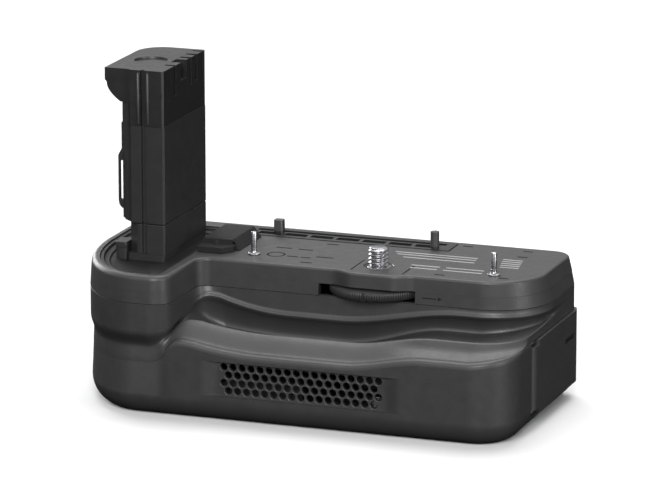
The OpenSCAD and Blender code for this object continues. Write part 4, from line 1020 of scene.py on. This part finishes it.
SHELL = plastic("shell_plastic", colour(46, 46, 47), 0.45, 0.45, 0.035, 0.4)
BLACK = plastic("black_plastic", colour(22, 22, 23), 0.4, 0.4, 0.012, 0.4)
INSERT = plastic("insert_plastic", colour(36, 36, 37), 0.45, 0.5, 0.014, 0.28)
GLOSS = plastic("cap_plastic", colour(29, 29, 30), 0.36, 0.8, 0.0012, 0.4)
GRILLE = plastic("grille_plastic", colour(46, 46, 47), 0.45, 0.4, 0.025, 0.4)
WHEEL = plastic("wheel_plastic", colour(30, 30, 31), 0.5, 0.4, 0.012, 0.3)
SEAL = plastic("seal_rubber", colour(15, 15, 16), 0.5, 0.4, 0.006, 0.25)
LEDGE = plastic("ledge_plastic", colour(36, 36, 37), 0.5, 0.4, 0.03, 0.05)
# Duct strip: the black below the plate's top is painted shade in the window's gap
PAINTED_SHADE_STRIP = painted_shade_strip_plastic("painted_shade_strip_plastic", colour(20, 20, 21), colour(52, 52, 53), TOP_Z + 1)
LABEL = plastic("label_ink", colour(140, 140, 141), 0.6, 0.3, 0.004)
# Dark ink for the printed bars and ring, and painted shade for the arrow, which stands for an engraving
INK_AND_SHADE_MARK = plastic("mark_ink_and_painted_shade", colour(30, 30, 31), 0.8, 0.3, 0.004, 0.05)
PACK = plastic("battery_plastic", colour(50, 50, 52), 0.5, 0.5, 0.012)
STEEL = metal("steel", colour(142, 142, 145), 0.3, 0.15)
BRASS = metal("brass", colour(214, 178, 96), 0.28, 0.15)
BOARD = plastic("board_lacquer", colour(28, 82, 48), 0.35, 0.6, 0.006)

# Look, slot and nodes of the CAD pieces that are shown as they are
NODE_LOOKS = (
    (SHELL, "shell", ["battery_door"]),
    (LEDGE, "shell", ["ledge_block"]),
    (PAINTED_SHADE_STRIP, "black", ["duct_frame"]),
    (BLACK, "black", ["air_duct", "fan_housing", "battery_tray", "assembly_posts", "door_latch",
                      "fan_rotor", "board_parts", "hinge_bracket", "screw_bush"]),
    (INSERT, "insert", ["insert_base", "insert_column", "insert_loop", "insert_key"]),
    (GLOSS, "gloss", ["insert_cap"]),
    (STEEL, "steel", ["chassis_plate", "wheel_bracket", "retaining_ring", "fan_shaft", "hinge_pin",
                      "tripod_socket", "bottom_screws"]),
    (BRASS, "brass", ["insert_contacts", "battery_contacts", "fan_stator", "fan_bearing"]),
    (BOARD, "board", ["circuit_board", "contact_cable"]),
    (PACK, "battery", ["battery"]))

EDGE_BREAK = 0.22
EDGE_ANGLE = 35
WELD_GAP = 0.002
FLAT_ANGLE = 0.5


def even_shading(obj):
    even = obj.modifiers.new("even", "WEIGHTED_NORMAL")
    even.keep_sharp = True


def soften_edges(obj):
    """Joined, rounded and evenly shaded edges for a CAD piece, without touching its own points."""
    normals = obj.data.attributes.get("custom_normal")
    if normals:
        obj.data.attributes.remove(normals)
    obj.data.shade_smooth()
    weld = obj.modifiers.new("join", "WELD")
    weld.merge_threshold = WELD_GAP * MM
    flat = obj.modifiers.new("flat", "DECIMATE")
    flat.decimate_type = "DISSOLVE"
    flat.angle_limit = math.radians(FLAT_ANGLE)
    bevel = obj.modifiers.new("edges", "BEVEL")
    bevel.width = EDGE_BREAK * MM
    bevel.segments = 2
    bevel.limit_method = "ANGLE"
    bevel.angle_limit = math.radians(EDGE_ANGLE)
    bevel.use_clamp_overlap = True
    even_shading(obj)


def dress(obj, look):
    obj.data.materials.clear()
    obj.data.materials.append(look)


def stand_for(obj, node, body, look):
    dress(obj, look)
    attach(obj, body)
    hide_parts(node)


for look, slot, nodes in NODE_LOOKS:
    for node in nodes:
        dress(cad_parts[node], look)
        soften_edges(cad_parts[node])

upper = make_upper_shell()
lower = make_lower_shell()
stand_for(upper, "upper_shell", "casing", SHELL)
stand_for(lower, "lower_shell", "casing", SHELL)
stand_for(make_grille(), "vent_grille", "casing", GRILLE)
stand_for(make_collar(), "insert_collar", "casing", SEAL)
stand_for(make_wheel(), "lock_wheel", "lock", WHEEL)
stand_for(make_screw(), "tripod_screw", "lock", STEEL)
stand_for(make_pins(), "locating_pins", "casing", STEEL)
even_shading(upper)
even_shading(lower)

EXTRAS = (
    # The arrow's dark colour is painted shade of an engraving
    (make_arrow(), INK_AND_SHADE_MARK, "black"),
    (make_bars("label_bars", LABEL_BARS), LABEL, "steel"),
    (make_bars("dark_bars", DARK_BARS), INK_AND_SHADE_MARK, "black"),
    (make_ring(), INK_AND_SHADE_MARK, "black"),
    (make_foot(), INSERT, "insert"),
    (make_ribs(), GLOSS, "gloss"),
    (make_strip(), INSERT, "insert"))
for extra, look, slot in EXTRAS:
    dress(extra, look)
    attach(extra, "casing")

# Studio: white background, pale floor, dark cloths that hold down stray light, soft lamps

FLOOR_HALF = 3000
CLOTH_Z = 0.5
BACK_CLOTH_Y = 1500
BACK_CLOTH_H = 500
AMBIENT = 0.035
LAMP_TARGET = Vector((0, 0, 0.03))


def make_world():
    world = bpy.data.worlds.new("studio")
    bpy.context.scene.world = world
    world.use_nodes = True
    tree = world.node_tree
    background = tree.nodes["Background"]
    background.inputs["Color"].default_value = (1, 1, 1, 1)
    path = tree.nodes.new("ShaderNodeLightPath")
    seen = tree.nodes.new("ShaderNodeMath")
    seen.operation = "ADD"
    tree.links.new(path.outputs["Is Camera Ray"], seen.inputs[0])
    tree.links.new(path.outputs["Is Glossy Ray"], seen.inputs[1])
    through = tree.nodes.new("ShaderNodeMath")
    through.operation = "ADD"
    through.use_clamp = True
    tree.links.new(seen.outputs[0], through.inputs[0])
    tree.links.new(path.outputs["Is Transmission Ray"], through.inputs[1])
    level = tree.nodes.new("ShaderNodeMapRange")
    level.inputs["To Min"].default_value = AMBIENT
    level.inputs["To Max"].default_value = 1
    tree.links.new(through.outputs[0], level.inputs["Value"])
    tree.links.new(level.outputs["Result"], background.inputs["Strength"])


def make_floor():
    floor = sheet("floor", (-FLOOR_HALF, -FLOOR_HALF, 0), (FLOOR_HALF, FLOOR_HALF, 0))
    n = Nodes("floor_paper")
    n.shader.inputs["Roughness"].default_value = 0.9
    n.shader.inputs["Specular IOR Level"].default_value = 0.1
    n.link(n.ramp(n.noise(40, 2), tones((0.9, 0.9, 0.9, 1), 0.01)), n.shader.inputs["Base Color"])
    floor.data.materials.append(n.material)


def dark_card(name, low, high):
    """A black cloth that only reflections and bounced light meet."""
    card = sheet(name, low, high)
    n = Nodes(name + "_cloth")
    n.shader.inputs["Roughness"].default_value = 1
    n.shader.inputs["Specular IOR Level"].default_value = 0
    n.link(n.ramp(n.noise(8, 2), tones(colour(20, 20, 20), 0.2)), n.shader.inputs["Base Color"])
    card.data.materials.append(n.material)
    card.visible_camera = False
    card.visible_shadow = False


def area_lamp(name, place, width, height, power):
    """A soft lamp, in metres and watts, that faces the object."""
    data = bpy.data.lights.new(name, "AREA")
    data.shape = "RECTANGLE"
    data.size = width
    data.size_y = height
    data.energy = power
    lamp = bpy.data.objects.new(name, data)
    lamp.location = place
    lamp.rotation_euler = (LAMP_TARGET - Vector(place)).to_track_quat("-Z", "Y").to_euler()
    bpy.context.scene.collection.objects.link(lamp)


make_world()
make_floor()
dark_card("table_cloth", (-FLOOR_HALF, -FLOOR_HALF, CLOTH_Z), (FLOOR_HALF, FLOOR_HALF, CLOTH_Z))
dark_card("back_cloth", (-FLOOR_HALF, BACK_CLOTH_Y, 0), (FLOOR_HALF, BACK_CLOTH_Y, BACK_CLOTH_H))
area_lamp("overhead", (-0.1, 0.3, 1.05), 1.0, 0.8, 13)
area_lamp("back", (-1.2, 1.2, 0.4), 0.8, 0.5, 14)
area_lamp("left", (-1.5, 0.5, 0.6), 0.8, 0.6, 5)
area_lamp("front", (0.33, -1.5, 0.8), 0.9, 0.7, 35)
area_lamp("right_strip", (0.9, -0.33, 0.12), 0.1, 0.5, 5.4)

# Camera at the photograph's viewing angle

CAMERA_PLACE = (0.5225, -1.4405, 0.4318)
CAMERA_TILT = 90 - 13.958
CAMERA_TURN = 19.79
CAMERA_LENS = 271.4
CAMERA_SENSOR = 36
camera_data = bpy.data.cameras.new("camera")
camera_data.lens = CAMERA_LENS
camera_data.sensor_width = CAMERA_SENSOR
camera = bpy.data.objects.new("camera", camera_data)
camera.location = CAMERA_PLACE
camera.rotation_euler = (math.radians(CAMERA_TILT), 0, math.radians(CAMERA_TURN))
bpy.context.scene.collection.objects.link(camera)
bpy.context.scene.camera = camera
bpy.context.scene.view_settings.view_transform = "Standard"
